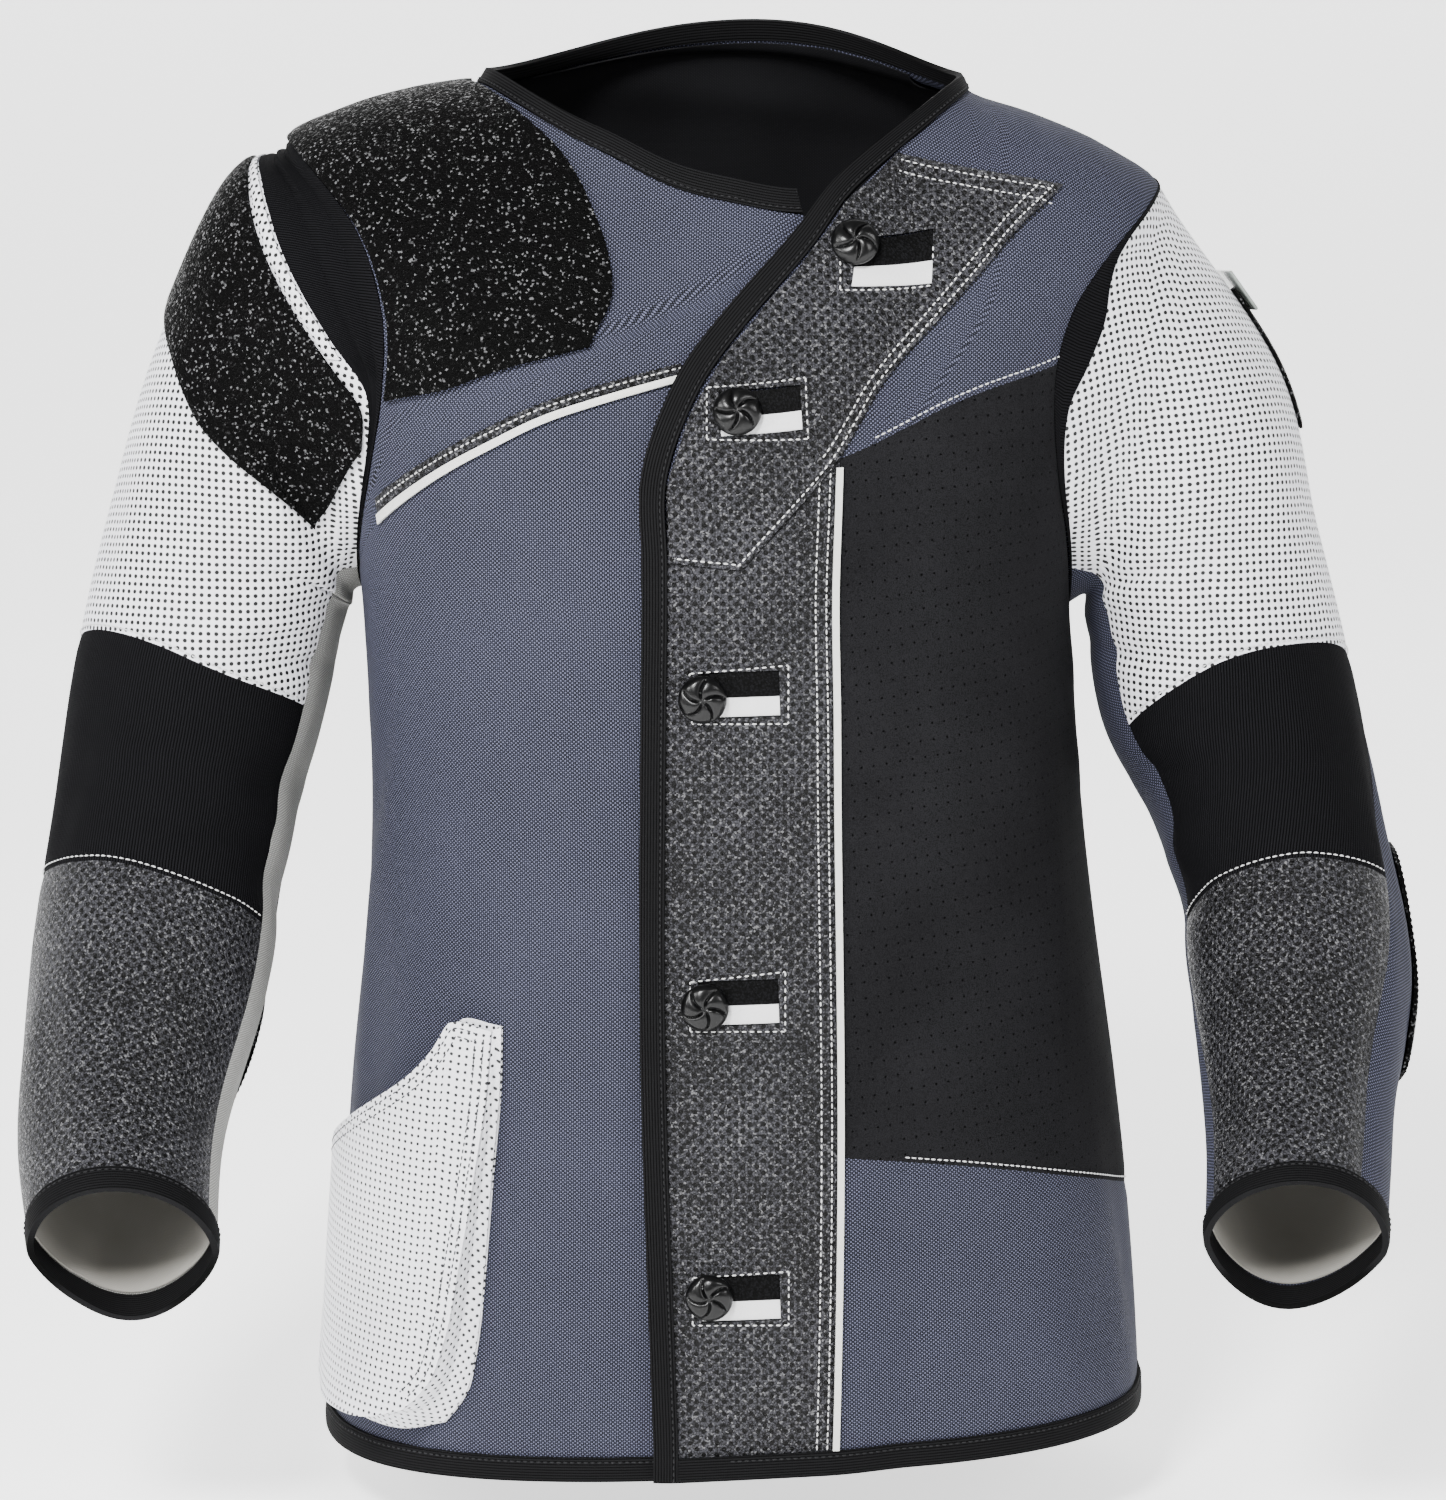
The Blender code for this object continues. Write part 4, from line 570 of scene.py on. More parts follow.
class Jacket:
    """The forms, and the lines on them that the pieces share."""

    def __init__(self) -> None:
        """Makes the forms."""
        self.torso = torso_form()
        self.sleeves = {side: sleeve_form(self.torso, side) for side in (-1, 1)}

    def quarter(self, column: Array, row: Array) -> Array:
        """Length of the quarter ring that a column lies in, at this row.

        Args:
            column: Columns of the torso.
            row: Rows of the torso.

        Returns:
            Lengths in millimetres.
        """
        which = np.floor((np.asarray(column, float) + 1) * 2).astype(int) % 4
        torso = self.torso
        lengths = np.stack([np.interp(row, torso.rows, torso.quarters[:, q]) for q in range(4)], axis=-1)
        return np.take_along_axis(lengths, which[..., None], axis=-1)[..., 0]

    def front(self, line: Sequence | Array) -> Array:
        """Places of (across, row) points of a front."""
        across, row = np.moveaxis(np.asarray(line, float), -1, 0)
        return paired(across / (2 * self.quarter(np.sign(across) * 0.25, row)), row)

    def across(self, spots: Array) -> Array:
        """Millimetres from the centre front of these places."""
        return spots[..., 0] * 2 * self.quarter(np.sign(spots[..., 0]) * 0.25, spots[..., 1])

    def lap(self, spots: Array) -> Array:
        """How far the left front stands off the form."""
        return LAP * (1 - ease((self.across(spots) - LAP_START) / (LAP_END - LAP_START)))

    def gusset_edge(self, side: int, turns: Array) -> Array:
        """How far down the sleeve the gusset reaches."""
        turns = (np.asarray(turns, float) + 90) % 360 - 90
        return np.maximum(table_curve(RIGHT_GUSSET if side < 0 else LEFT_GUSSET, turns), GUSSET_LEAST)


def curve(points: Sequence | Array, cells: int, round_mm: float = COLUMN_MM) -> Array:
    """A smooth line through a few places, divided evenly by its length.

    Args:
        points: A few places on the line.
        cells: Cells to divide it into.
        round_mm: Millimetres of cloth to one unit across.

    Returns:
        Places, one more than the cells.
    """
    points = np.asarray(points, float)
    length = np.hypot(*(np.diff(points, axis=0) * (round_mm, 1)).T)
    arc = np.concatenate([[0], np.cumsum(length)])
    return smooth(arc, points, np.linspace(0, arc[-1], cells + 1))


def join(*lines: Array) -> Array:
    """Lines end to end, each shared point once."""
    return np.concatenate([lines[0]] + [line[1:] for line in lines[1:]])


def hem_lines(start: float, end: float, cells: int) -> tuple[Array, ...]:
    """The hem and the seam of its binding between two columns."""
    columns = np.linspace(start, end, cells + 1)
    return tuple(paired(columns, table_curve(HEM, columns) + up) for up in (0.0, TAPE_WIDTH))


def patch(bottom: Array, top: Array, left: Array, right: Array) -> Array:
    """A grid of places between four edges that meet at their corners.

    Args:
        bottom: Lower edge.
        top: Upper edge.
        left: Left edge.
        right: Right edge.

    Returns:
        A grid of places.
    """
    u = np.linspace(0, 1, len(bottom))[None, :, None]
    v = np.linspace(0, 1, len(left))[:, None, None]
    ruled = (1 - v) * bottom[None] + v * top[None] + (1 - u) * left[:, None] + u * right[:, None]
    corners = (1 - v) * ((1 - u) * bottom[0] + u * bottom[-1]) + v * ((1 - u) * top[0] + u * top[-1])
    return ruled - corners


def halved(line: Array) -> Array:
    """The line with a point midway in each of its cells."""
    places = np.linspace(0, len(line) - 1, 2 * len(line) - 1)
    return np.stack([np.interp(places, np.arange(len(line)), line[:, a]) for a in range(2)], axis=-1)


def shifted(jacket: Jacket, line: Array, distance: float) -> Array:
    """A line of the front moved sideways in its surface, to the right of its run for a distance above 0.

    Args:
        jacket: The forms and lines.
        line: Places along a line.
        distance: Millimetres sideways.

    Returns:
        The moved line.
    """
    line = paired(jacket.across(line), line[:, 1])
    step = np.gradient(line, axis=0)
    return jacket.front(line + unit(paired(step[:, 1], -step[:, 0])) * distance)


def placket_line(ends: Sequence[Array], first: float, last: float, cells: int) -> Array:
    """Places on the placket's seam between two rows, bowed out between its ends.

    Args:
        ends: Bottom and top of the seam.
        first: Row where it starts.
        last: Row where it stops.
        cells: Cells to divide it into.

    Returns:
        The line.
    """
    rows = np.linspace(first, last, cells + 1)
    share = (rows - ends[0][1]) / (ends[1][1] - ends[0][1])
    bow = PLACKET_BOW / COLUMN_MM * 4 * share * (1 - share)
    return paired(ends[0][0] + (ends[1][0] - ends[0][0]) * share + bow, rows)


def front_patch(jacket: Jacket, window: Sequence[float]) -> Array:
    """A small turned rectangle of places on the left front.

    Args:
        jacket: The forms and lines.
        window: Its middle as (across, row), width, height and tilt in degrees.

    Returns:
        A grid of places.
    """
    across, row, wide, high, tilt = window
    c, s = math.cos(math.radians(tilt)), math.sin(math.radians(tilt))
    x, y = np.meshgrid(np.linspace(-wide / 2, wide / 2, WINDOW_CELLS + 1), (-high / 2, high / 2))
    return jacket.front(paired(across + x * c - y * s, row + x * s + y * c))


def seam_line(table: Table, rows: Array) -> Array:
    """Places down a sleeve along a seam given as (row, turn)."""
    return paired(table_curve(table, rows), rows)


def across_sleeve(table: Table, cells: int) -> Array:
    """Places across a sleeve through a seam given as (turn, row), with evenly spaced turns."""
    turns = np.linspace(table[0][0], table[-1][0], cells + 1)
    return paired(turns, table_curve(table, turns))


def cuff_rows(spots: Array, width: float) -> Array:
    """The same turns on the line that runs this far above the slanted edge of the cuff."""
    rows = CUFF_EDGE - width - CUFF_SLANT * np.cos(np.radians(spots[:, 0]))
    return paired(spots[:, 0], rows)


def rim(grid: Array) -> Array:
    """The right, bottom and left edges of a grid, in one run."""
    return np.concatenate([grid[::-1, -1], grid[0, -2:0:-1], grid[:, 0]])


class Side(IntEnum):
    """The two sleeves, by the sign of the wearer's side."""

    RIGHT = -1
    LEFT = 1

    @property
    def word(self) -> str:
        """The side as the pieces are named."""
        return self.name.lower()


class Coordinates(Enum):
    """What a finish's pattern lies on."""

    CLOTH = "the sheet's own map, in millimetres of cloth"
    SOLID = "the place in the jacket, in millimetres"


def linear(colour: str) -> tuple[float, float, float, float]:
    """A hex sRGB colour as linear red, green, blue and alpha."""
    parts = [int(colour[k:k + 2], 16) / 255 for k in (0, 2, 4)]
    return (*(c / 12.92 if c <= 0.04045 else ((c + 0.055) / 1.055) ** 2.4 for c in parts), 1.0)


@dataclass
class Recipe:
    """The node tree of one finish."""

    tree: bpy.types.NodeTree

    def fill(self, made: bpy.types.Node, inputs: dict) -> None:
        """Gives a node its values, and its links from sockets or from the first outputs of nodes.

        Args:
            made: The node.
            inputs: Values or links by socket.
        """
        for key, value in inputs.items():
            if isinstance(value, Source):
                value = value.outputs[0] if isinstance(value, bpy.types.Node) else value
                self.tree.links.new(value, made.inputs[key])
            else:
                made.inputs[key].default_value = value

    def add(self, kind: str, *values: object, inputs: dict | None = None, **settings: object) -> Source:
        """Adds a node with its settings and its values or links.

        Args:
            kind: Blender's name of the node, without its first words, and its operation.
            values: Values or links of its first sockets, in order.
            inputs: Further ones by socket.
            settings: The node's own settings.

        Returns:
            The node.
        """
        kind, _, operation = kind.partition(" ")
        made = self.tree.nodes.new(f"ShaderNode{kind}")
        if operation:
            made.operation = operation
        for key, value in settings.items():
            setattr(made, key, value)
        self.fill(made, dict(enumerate(values)) | (inputs or {}))
        return made

    def blend(self, share: Source, first: object, second: object) -> Source:
        """A colour between two, by a share."""
        return self.add("Mix", share, inputs={6: first, 7: second}, data_type="RGBA").outputs[2]

    def wave(self, place: Source, axis: int, pitch: float) -> Source:
        """A sine from -1 to 1 along one axis of a place, half a turn to a pitch."""
        part = self.add("SeparateXYZ", place).outputs[axis]
        return self.add("Math SINE", self.add("Math MULTIPLY", part, math.pi / pitch))


@dataclass(frozen=True)
class Finish:
    """One material of the jacket, with its weave, ribs, holes, grain or crumb in real millimetres."""

    name: str
    slot: str
    dark: str
    light: str
    rough: float = 0.8
    vary: float = 0.3
    # contrast: how strongly the weave, ribs and grain are painted into the colour, as highlight on raised
    # parts and shade in hollows
    contrast: float = 0.0
    shine: float = 0.5
    coat: float = 0.0
    weave: float = 0.0
    weave_depth: float = 0.12
    ribs: tuple[float, float, int] = (0.0, 0.0, 0)
    holes: tuple[float, float, float] = (0.0, 0.0, 0.0)
    staggered: bool = False
    hole_colour: str = "101011"
    grain: tuple[float, float] = (0.0, 0.0)
    crumb: float = 0.0
    # glints: which share of the crumb's cells is painted bright as glints of highlight, and how strongly
    glints: tuple[float, float] = (0.9, 0.4)
    on: Coordinates = Coordinates.CLOTH

    def material(self) -> bpy.types.Material:
        """The finish as a material, made once.

        Returns:
            The material.
        """
        found = bpy.data.materials.get(f"dressed {self.name}")
        if found:
            return found
        made = bpy.data.materials.new(f"dressed {self.name}")
        made.use_nodes = True
        recipe = Recipe(made.node_tree)
        add = recipe.add
        solid = add("VectorMath MULTIPLY", add("TexCoord").outputs["Object"], (1 / MM,) * 3)
        cloth = add("UVMap", uv_map="cloth") if self.on is Coordinates.CLOTH else solid
        cloud = add("TexNoise", solid, inputs={"Scale": 1 / 60.0, "Detail": 4.0})
        tone = add("Math MULTIPLY_ADD", cloud, self.vary, 0.5 - self.vary / 2)
        height = add("Math MULTIPLY", add("TexNoise", solid, inputs={"Scale": 1 / 3.0}), 0.05)
        worn = add("TexNoise", solid, inputs={"Scale": 1 / 14.0})
        rough = add("Math MULTIPLY_ADD", worn, 0.16, self.rough - 0.08)
        if self.weave:
            tone, height = self.woven(recipe, cloth, tone, height)
        if self.ribs[0]:
            pitch, depth, axis = self.ribs
            rib = add("Math ABSOLUTE", recipe.wave(cloth, axis, pitch))
            across = add("Math ABSOLUTE", recipe.wave(cloth, 1 - axis, pitch * 0.8))
            rib = add("Math MULTIPLY_ADD", across, 0.25, rib)
            height = add("Math MULTIPLY_ADD", rib, depth, height)
            # Raised ribs painted lighter and their furrows darker: painted highlight and shade
            raised = add("Math SUBTRACT", rib, 0.7)
            tone = add("Math MULTIPLY_ADD", raised, self.contrast, tone)
        if self.grain[0]:
            size, depth = self.grain
            pebble = add("TexVoronoi", solid, inputs={"Scale": 1 / size})
            pebble = add("Math MULTIPLY", pebble, -0.9)
            fine = add("TexNoise", solid, inputs={"Scale": 1 / (size * 0.35), "Detail": 3.0})
            lump = add("Math MULTIPLY_ADD", fine, 0.7, pebble)
            height = add("Math MULTIPLY_ADD", lump, depth, height)
            # Lumps of the grain painted lighter: partly the leather's own mottling, partly painted highlight
            # on its pebbles
            tone = add("Math MULTIPLY_ADD", lump, self.contrast, tone)
        colour = recipe.blend(add("MapRange", tone, 0.0, 1.0, **SOFT), linear(self.dark), linear(self.light))
        if self.crumb:
            colour, height, rough = self.crumbed(recipe, solid, colour, height)
        if self.holes[0]:
            colour, height = self.holed(recipe, cloth, colour, height)
        recipe.fill(made.node_tree.nodes["Principled BSDF"], {
            "Base Color": colour,
            "Roughness": rough,
            "Normal": add("Bump", inputs={"Height": height, "Distance": MM, "Strength": 1.0}),
            "Specular IOR Level": self.shine,
            "Coat Weight": self.coat,
            "Coat Roughness": 0.25,
        })
        return made

    def woven(self, recipe: Recipe, cloth: Source, tone: Source, height: Source) -> tuple[Source, Source]:
        """Plain weave: the warp and the weft stand up in turn, each raised yarn painted light as highlight
        and the gaps painted dark as shade.

        Args:
            recipe: The finish's node tree.
            cloth: Pattern coordinates.
            tone: Share of the light colour.
            height: Relief in millimetres.

        Returns:
            Tone and height.
        """
        add = recipe.add
        along = recipe.wave(cloth, 1, self.weave * 0.82)
        crossing = add("Math MULTIPLY", recipe.wave(cloth, 0, self.weave), along)
        warp = add("Math MAXIMUM", crossing, 0.0)
        weft = add("Math MAXIMUM", add("Math MULTIPLY", crossing, -1.0), 0.0)
        yarn = add("Math MULTIPLY_ADD", weft, 0.3, warp)
        stretched = add("VectorMath MULTIPLY", cloth, (0.2, 1.6, 1.0))
        slub = add("TexNoise", stretched, inputs={"Scale": 1 / 1.5})
        slub = add("Math MULTIPLY_ADD", slub, 0.8, 0.5)
        # Painted highlight on the raised yarn and painted shade in the gaps, varied by the yarn's own slubs
        lit = add("Math MULTIPLY", add("Math SUBTRACT", yarn, 0.3), slub)
        tone = add("Math MULTIPLY_ADD", lit, self.contrast, tone)
        return tone, add("Math MULTIPLY_ADD", yarn, self.weave_depth, height)

    def holed(self, recipe: Recipe, cloth: Source, colour: Source, height: Source) -> tuple[Source, Source]:
        """Punched holes in rows, square or staggered.

        Args:
            recipe: The finish's node tree.
            cloth: Pattern coordinates.
            colour: The colour so far.
            height: Relief in millimetres.

        Returns:
            Colour and height.
        """
        add = recipe.add
        across, along, radius = self.holes
        near = None
        for shift in ((0.0, 0.0, 0.0), (0.5, 0.5, 0.0))[:2 if self.staggered else 1]:
            place = add("VectorMath MULTIPLY", cloth, (1 / across, 1 / along, 0.0))
            place = add("VectorMath FRACTION", add("VectorMath ADD", place, shift))
            place = add("VectorMath SUBTRACT", place, (0.5, 0.5, 0.0))
            place = add("VectorMath MULTIPLY", place, (across, along, 0.0))
            apart = add("VectorMath LENGTH", place).outputs["Value"]
            near = apart if near is None else add("Math MINIMUM", near, apart)
        # The holes are painted near black: partly what shows through them, partly painted shade down each
        # hole
        hole = add("MapRange", near, radius * 0.9, radius * 1.1, 1.0, 0.0, **SOFT)
        dip = add("MapRange", near, radius, radius * 2.2, 1.0, 0.0, **SOFT)
        height = add("Math MULTIPLY_ADD", hole, -0.3, height)
        height = add("Math MULTIPLY_ADD", dip, -0.12, height)
        return recipe.blend(hole, colour, linear(self.hole_colour)), height

    def crumbed(
        self, recipe: Recipe, solid: Source, colour: Source, height: Source
    ) -> tuple[Source, Source, Source]:
        """Rubber crumb: small lumps, a few of them painted bright as glints, a painted highlight.

        Args:
            recipe: The finish's node tree.
            solid: Place in the jacket in millimetres.
            colour: The colour so far.
            height: Relief in millimetres.

        Returns:
            Colour, height and roughness.
        """
        add = recipe.add
        crumb = add("TexVoronoi", solid, inputs={"Scale": 1 / self.crumb})
        lot = add("SeparateColor", crumb.outputs["Color"])
        # A few cells painted light grey as glints: painted highlight, where the roughness also drops
        bright = add("MapRange", lot, self.glints[0], 1.0, **SOFT)
        bright = add("Math MULTIPLY", bright, self.glints[1])
        lump = add("Math SUBTRACT", lot, crumb)
        height = add("Math MULTIPLY_ADD", lump, 0.55, height)
        rough = add("MapRange", lot, 0.5, 0.95, self.rough, 0.25, **SOFT)
        return recipe.blend(bright, colour, linear("8E8E90")), height, rough


# Stiff cotton canvas: matt, its yarn crossings painted as light dots of highlight over gaps painted dark as
# shade
CANVAS = Finish("blue canvas", "canvas", "040507", "54566A", 0.85, 0.22, 3.2, shine=0.15, weave=1.15)
PALE_CANVAS = Finish("pale canvas", "pale_canvas", "4A4A47", "B8B8B4", 0.85, 0.3, 1.2, shine=0.15, weave=0.9)
# Grained and perforated cowhide: painted glints on its pebbles, a wide cloudy tone that is partly painted
# shade and highlight, and holes painted black, partly as painted shade
CHARCOAL = Finish(
    "charcoal leather", "charcoal_leather", "050506", "404045", 0.5, 0.8, 1.4, shine=0.18, staggered=True,
    holes=(6.6, 6.0, 1.15), hole_colour="000000", grain=(1.2, 0.6), crumb=0.9, glints=(0.8, 0.42),
)
DARK_LIP = Finish(
    "lip leather", "charcoal_leather", "000000", "0C0C0E", 0.6, 0.3, 2.0, shine=0.06, grain=(1.2, 0.3),
)
# Split leather: soft and black, with pin holes that hardly show
SUEDE = Finish(
    "suede", "suede", "0D0D0E", "232325", 0.95, 0.4, 1.0, shine=0.04, holes=(6.4, 8.0, 0.5),
    hole_colour="010101", grain=(0.5, 0.12),
)
# Coated leather: smooth and bright, its small holes in a square grid
WHITE = Finish(
    "white leather", "white_leather", "D2D2D8", "F4F4F8", 0.5, 0.4, 0.2, shine=0.35,
    holes=(3.8, 3.8, 1.05), grain=(1.6, 0.06), hole_colour="010101",
)
POCKET_WHITE = replace(WHITE, name="pocket leather", holes=(3.8, 3.8, 0.78), hole_colour="1A1A1C")
WHITE_LIP = Finish("white lip", "white_leather", "C4C4C6", "E6E6E6", 0.55, 0.4, 0.1, grain=(1.4, 0.1))
# Rib knit of textured yarn: nearly black, with fine lines down it painted as highlight on its ribs
KNIT = Finish("knit", "knit", "010101", "111113", 0.9, 0.3, 3.0, shine=0.04, ribs=(1.5, 0.3, 0))
# Bonded rubber granules: a rough black face, its few bright grains painted as glints of highlight
RUBBER = Finish("rubber crumb", "rubber", "000000", "020202", 0.8, 0.4, 0.3, shine=0.06, crumb=1.0)
# Grosgrain ribbon: ribs across it, painted lighter on their crests as highlight
TAPE = Finish("binding tape", "tape", "010101", "121213", 0.8, 0.3, 3.5, shine=0.05, ribs=(1.4, 0.14, 1))
# Smooth lining cloths, whose weave hardly shows
LINING = Finish(
    "cuff lining", "lining", "74726C", "A09D97", 0.8, 0.5, 0.15, shine=0.2, weave=0.8, weave_depth=0.04,
)
NECK = Finish(
    "neck lining", "black_lining", "09090A", "1A1A1C", 0.9, 0.4, 0.6, shine=0.05, weave=0.9, weave_depth=0.05,
)
# Moulded polyester: black, with a thin gloss
HORN = Finish(
    "button", "button", "010101", "050506", 0.3, 0.4, 0.1, shine=0.25, coat=0.12, grain=(2.2, 0.05),
    on=Coordinates.SOLID,
)
PIPING = Finish("piping", "piping", "BDBDB8", "DCDCD8", 0.45, 0.4, 0.1, grain=(1.2, 0.05))
# Worn clear plastic: grey, cloudy and glossy
CLEAR = Finish(
    "clear plate", "clear_plastic", "565B57", "9AA09B", 0.15, 0.8, 0.4, coat=0.5, grain=(6.0, 0.2),
    on=Coordinates.SOLID,
)
# Twisted polyester thread: a soft sheen, in three shades. The grey is painted darker as shade along the
# pocket's seams, and the dark one also draws a painted shadow line
THREAD = Finish(
    "white thread", "piping", "B4B4B4", "E4E4E4", 0.7, 0.4, 0.2, shine=0.2, grain=(0.5, 0.1),
    on=Coordinates.SOLID,
)
# The pocket's white stitches painted dark grey: the painted shade of the seam they sink into
SHADED_POCKET_THREAD = replace(THREAD, name="grey thread", dark="2A2B2D", light="505154")
# Also drawn as the painted shadow line under the flap's edge
DARK_THREAD_AND_SHADOW = replace(THREAD, name="dark thread", slot="tape", dark="0A0A0B", light="242426")


def refined(spots: Array, form: Form, ring: bool = False) -> Array:
    """The grid of places with its cells divided down to about the size of a cloth cell.

    Args:
        spots: Places on the form.
        form: The form that it lies on.
        ring: Whether it closes round a sleeve.

    Returns:
        The finer grid.
    """
    if ring:
        spots = np.concatenate([spots, spots[:, :1] + (360, 0)], axis=1)
    points = form.at(spots)
    for axis in (0, 1):
        cells = np.linalg.norm(np.diff(points, axis=axis), axis=-1).mean(axis=1 - axis)
        runs = np.insert(np.cumsum(np.maximum(cells, LEAST_CELL)), 0, 0.0)
        shares = np.linspace(0, len(cells), len(cells) * math.ceil(cells.mean() / CELL) + 1)
        places = np.interp(shares, np.arange(len(runs)), runs)
        spots = np.moveaxis(smooth(runs, np.moveaxis(spots, axis, 0), places), 0, axis)
        points = form.at(spots)
    return spots[:, :-1] if ring else spots


def run_lengths(points: Array, axis: int, ring: bool) -> Array:
    """Length of cloth to each point from the middle of its row or column.

    Args:
        points: Points in millimetres.
        axis: 1 along the rows, 0 down the columns.
        ring: Whether it closes round a sleeve.

    Returns:
        Millimetres.
    """
    if ring and axis == 1:
        points = np.concatenate([points, points[:, :1]], axis=1)
    steps = np.linalg.norm(np.diff(points, axis=axis), axis=-1)
    runs = np.insert(np.cumsum(steps, axis=axis), 0, 0.0, axis=axis)
    return runs - np.take(runs, [runs.shape[axis] // 2], axis=axis)


def inset(points: Array, ring: bool = False) -> Array:
    """Length of cloth from each point to the nearest edge of its grid.

    Args:
        points: Points in millimetres.
        ring: Whether it closes round a sleeve.

    Returns:
        Millimetres.
    """
    edges = []
    for axis in (0,) if ring else (0, 1):
        run = run_lengths(points, axis, False)
        edges += [run - np.take(run, [0], axis), np.take(run, [-1], axis) - run]
    return np.minimum.reduce(edges)


def flattened(points: Array, right: Array, down: Array) -> tuple[Array, Array]:
    """Lays a sheet flat as its maker cut it: its cells keep their sizes and angles as far as they can.

    Args:
        points: Points in millimetres.
        right: Lengths along the rows.
        down: Lengths down the columns.

    Returns:
        The two lengths, laid flat.
    """
    picks = [np.unique(np.linspace(0, n - 1, min(n, FLAT_POINTS)).round().astype(int)) for n in right.shape]
    flat = paired(right, down)[np.ix_(*picks)]
    few, start = points[np.ix_(*picks)], flat.copy()
    every, but_last, but_first = slice(None), slice(None, -1), slice(1, None)
    pairs = (
        ((every, but_last), (every, but_first)),
        ((but_last, every), (but_first, every)),
        ((but_last, but_last), (but_first, but_first)),
        ((but_last, but_first), (but_first, but_last)),
    )
    goals = [np.linalg.norm(few[end] - few[begin], axis=-1) for begin, end in pairs]
    for _ in range(FLAT_PUSHES):
        push = np.zeros_like(flat)
        for (begin, end), goal in zip(pairs, goals):
            apart = flat[end] - flat[begin]
            pull = apart * (1 - goal / np.maximum(np.linalg.norm(apart, axis=-1), 0.01))[..., None]
            push[begin] += pull
            push[end] -= pull
        flat += FLAT_PUSH * push
    moved = flat - start
    for axis, size in enumerate(right.shape):
        moved = np.apply_along_axis(lambda line: np.interp(np.arange(size), picks[axis], line), axis, moved)
    flat = paired(right, down) + moved
    # Turned so that the weave hangs straight down at the sheet's middle
    row, column = (size // 2 for size in right.shape)
    ways = [
        (grid[row, column + 1] - grid[row, column - 1], grid[row + 1, column] - grid[row - 1, column])
        for grid in (points, flat)
    ]
    shares = np.linalg.lstsq(np.stack(ways[0], axis=1), np.array([0.0, 0.0, -1.0]), rcond=None)[0]
    turn = math.atan2(*(np.stack(ways[1], axis=1) @ shares))
    c, s = math.cos(turn), math.sin(turn)
    return flat[..., 0] * c - flat[..., 1] * s, flat[..., 0] * s + flat[..., 1] * c


def placed(name: str, data: bpy.types.ID) -> Piece:
    """Puts an object in the scene.

    Args:
        name: Its name.
        data: Its mesh, light or camera.

    Returns:
        The object.
    """
    made = bpy.data.objects.new(name, data)
    bpy.context.scene.collection.objects.link(made)
    return made


def primitive(add: Callable, **size: float) -> Piece:
    """Adds a primitive, with nothing else selected.

    Args:
        add: The operator that adds it.
        size: The operator's sizes.

    Returns:
        The primitive.
    """
    bpy.ops.object.select_all(action="DESELECT")
    add(**size)
    return bpy.context.active_object


def moved_mesh(made: Piece, middle: Array, *axes: Vector) -> bpy.types.Mesh:
    """Takes the mesh of a shaped primitive to its place, and removes the primitive.

    Args:
        made: The primitive.
        middle: Where its middle goes, in metres.
        axes: Where its x, y and z axes point.

    Returns:
        The mesh.
    """
    turned = Matrix(axes).transposed().to_4x4()
    made.data.transform(Matrix.Translation(Vector(middle)) @ turned)
    mesh = made.data.copy()
    bpy.data.objects.remove(made)
    return mesh


def closed_mesh(name: str, points: Array, quads: Array, maps: Array | None = None) -> bpy.types.Mesh:
    """A closed mesh with its faces turned outwards.

    Args:
        name: The mesh's name.
        points: Points in metres.
        quads: Four points to a face.
        maps: Where the corners of each face lie on the flat cloth.

    Returns:
        The mesh.
    """
    halves = np.concatenate([quads[:, [0, 1, 2]], quads[:, [0, 2, 3]]])
    turn = -1 if np.linalg.det(points[halves]).sum() < 0 else 1
    mesh = bpy.data.meshes.new(name)
    mesh.from_pydata(points.tolist(), [], quads[:, ::turn].tolist())
    if maps is not None:
        mesh.uv_layers.new(name="cloth").data.foreach_set("uv", maps[:, ::turn].astype(np.float32).ravel())
    return mesh


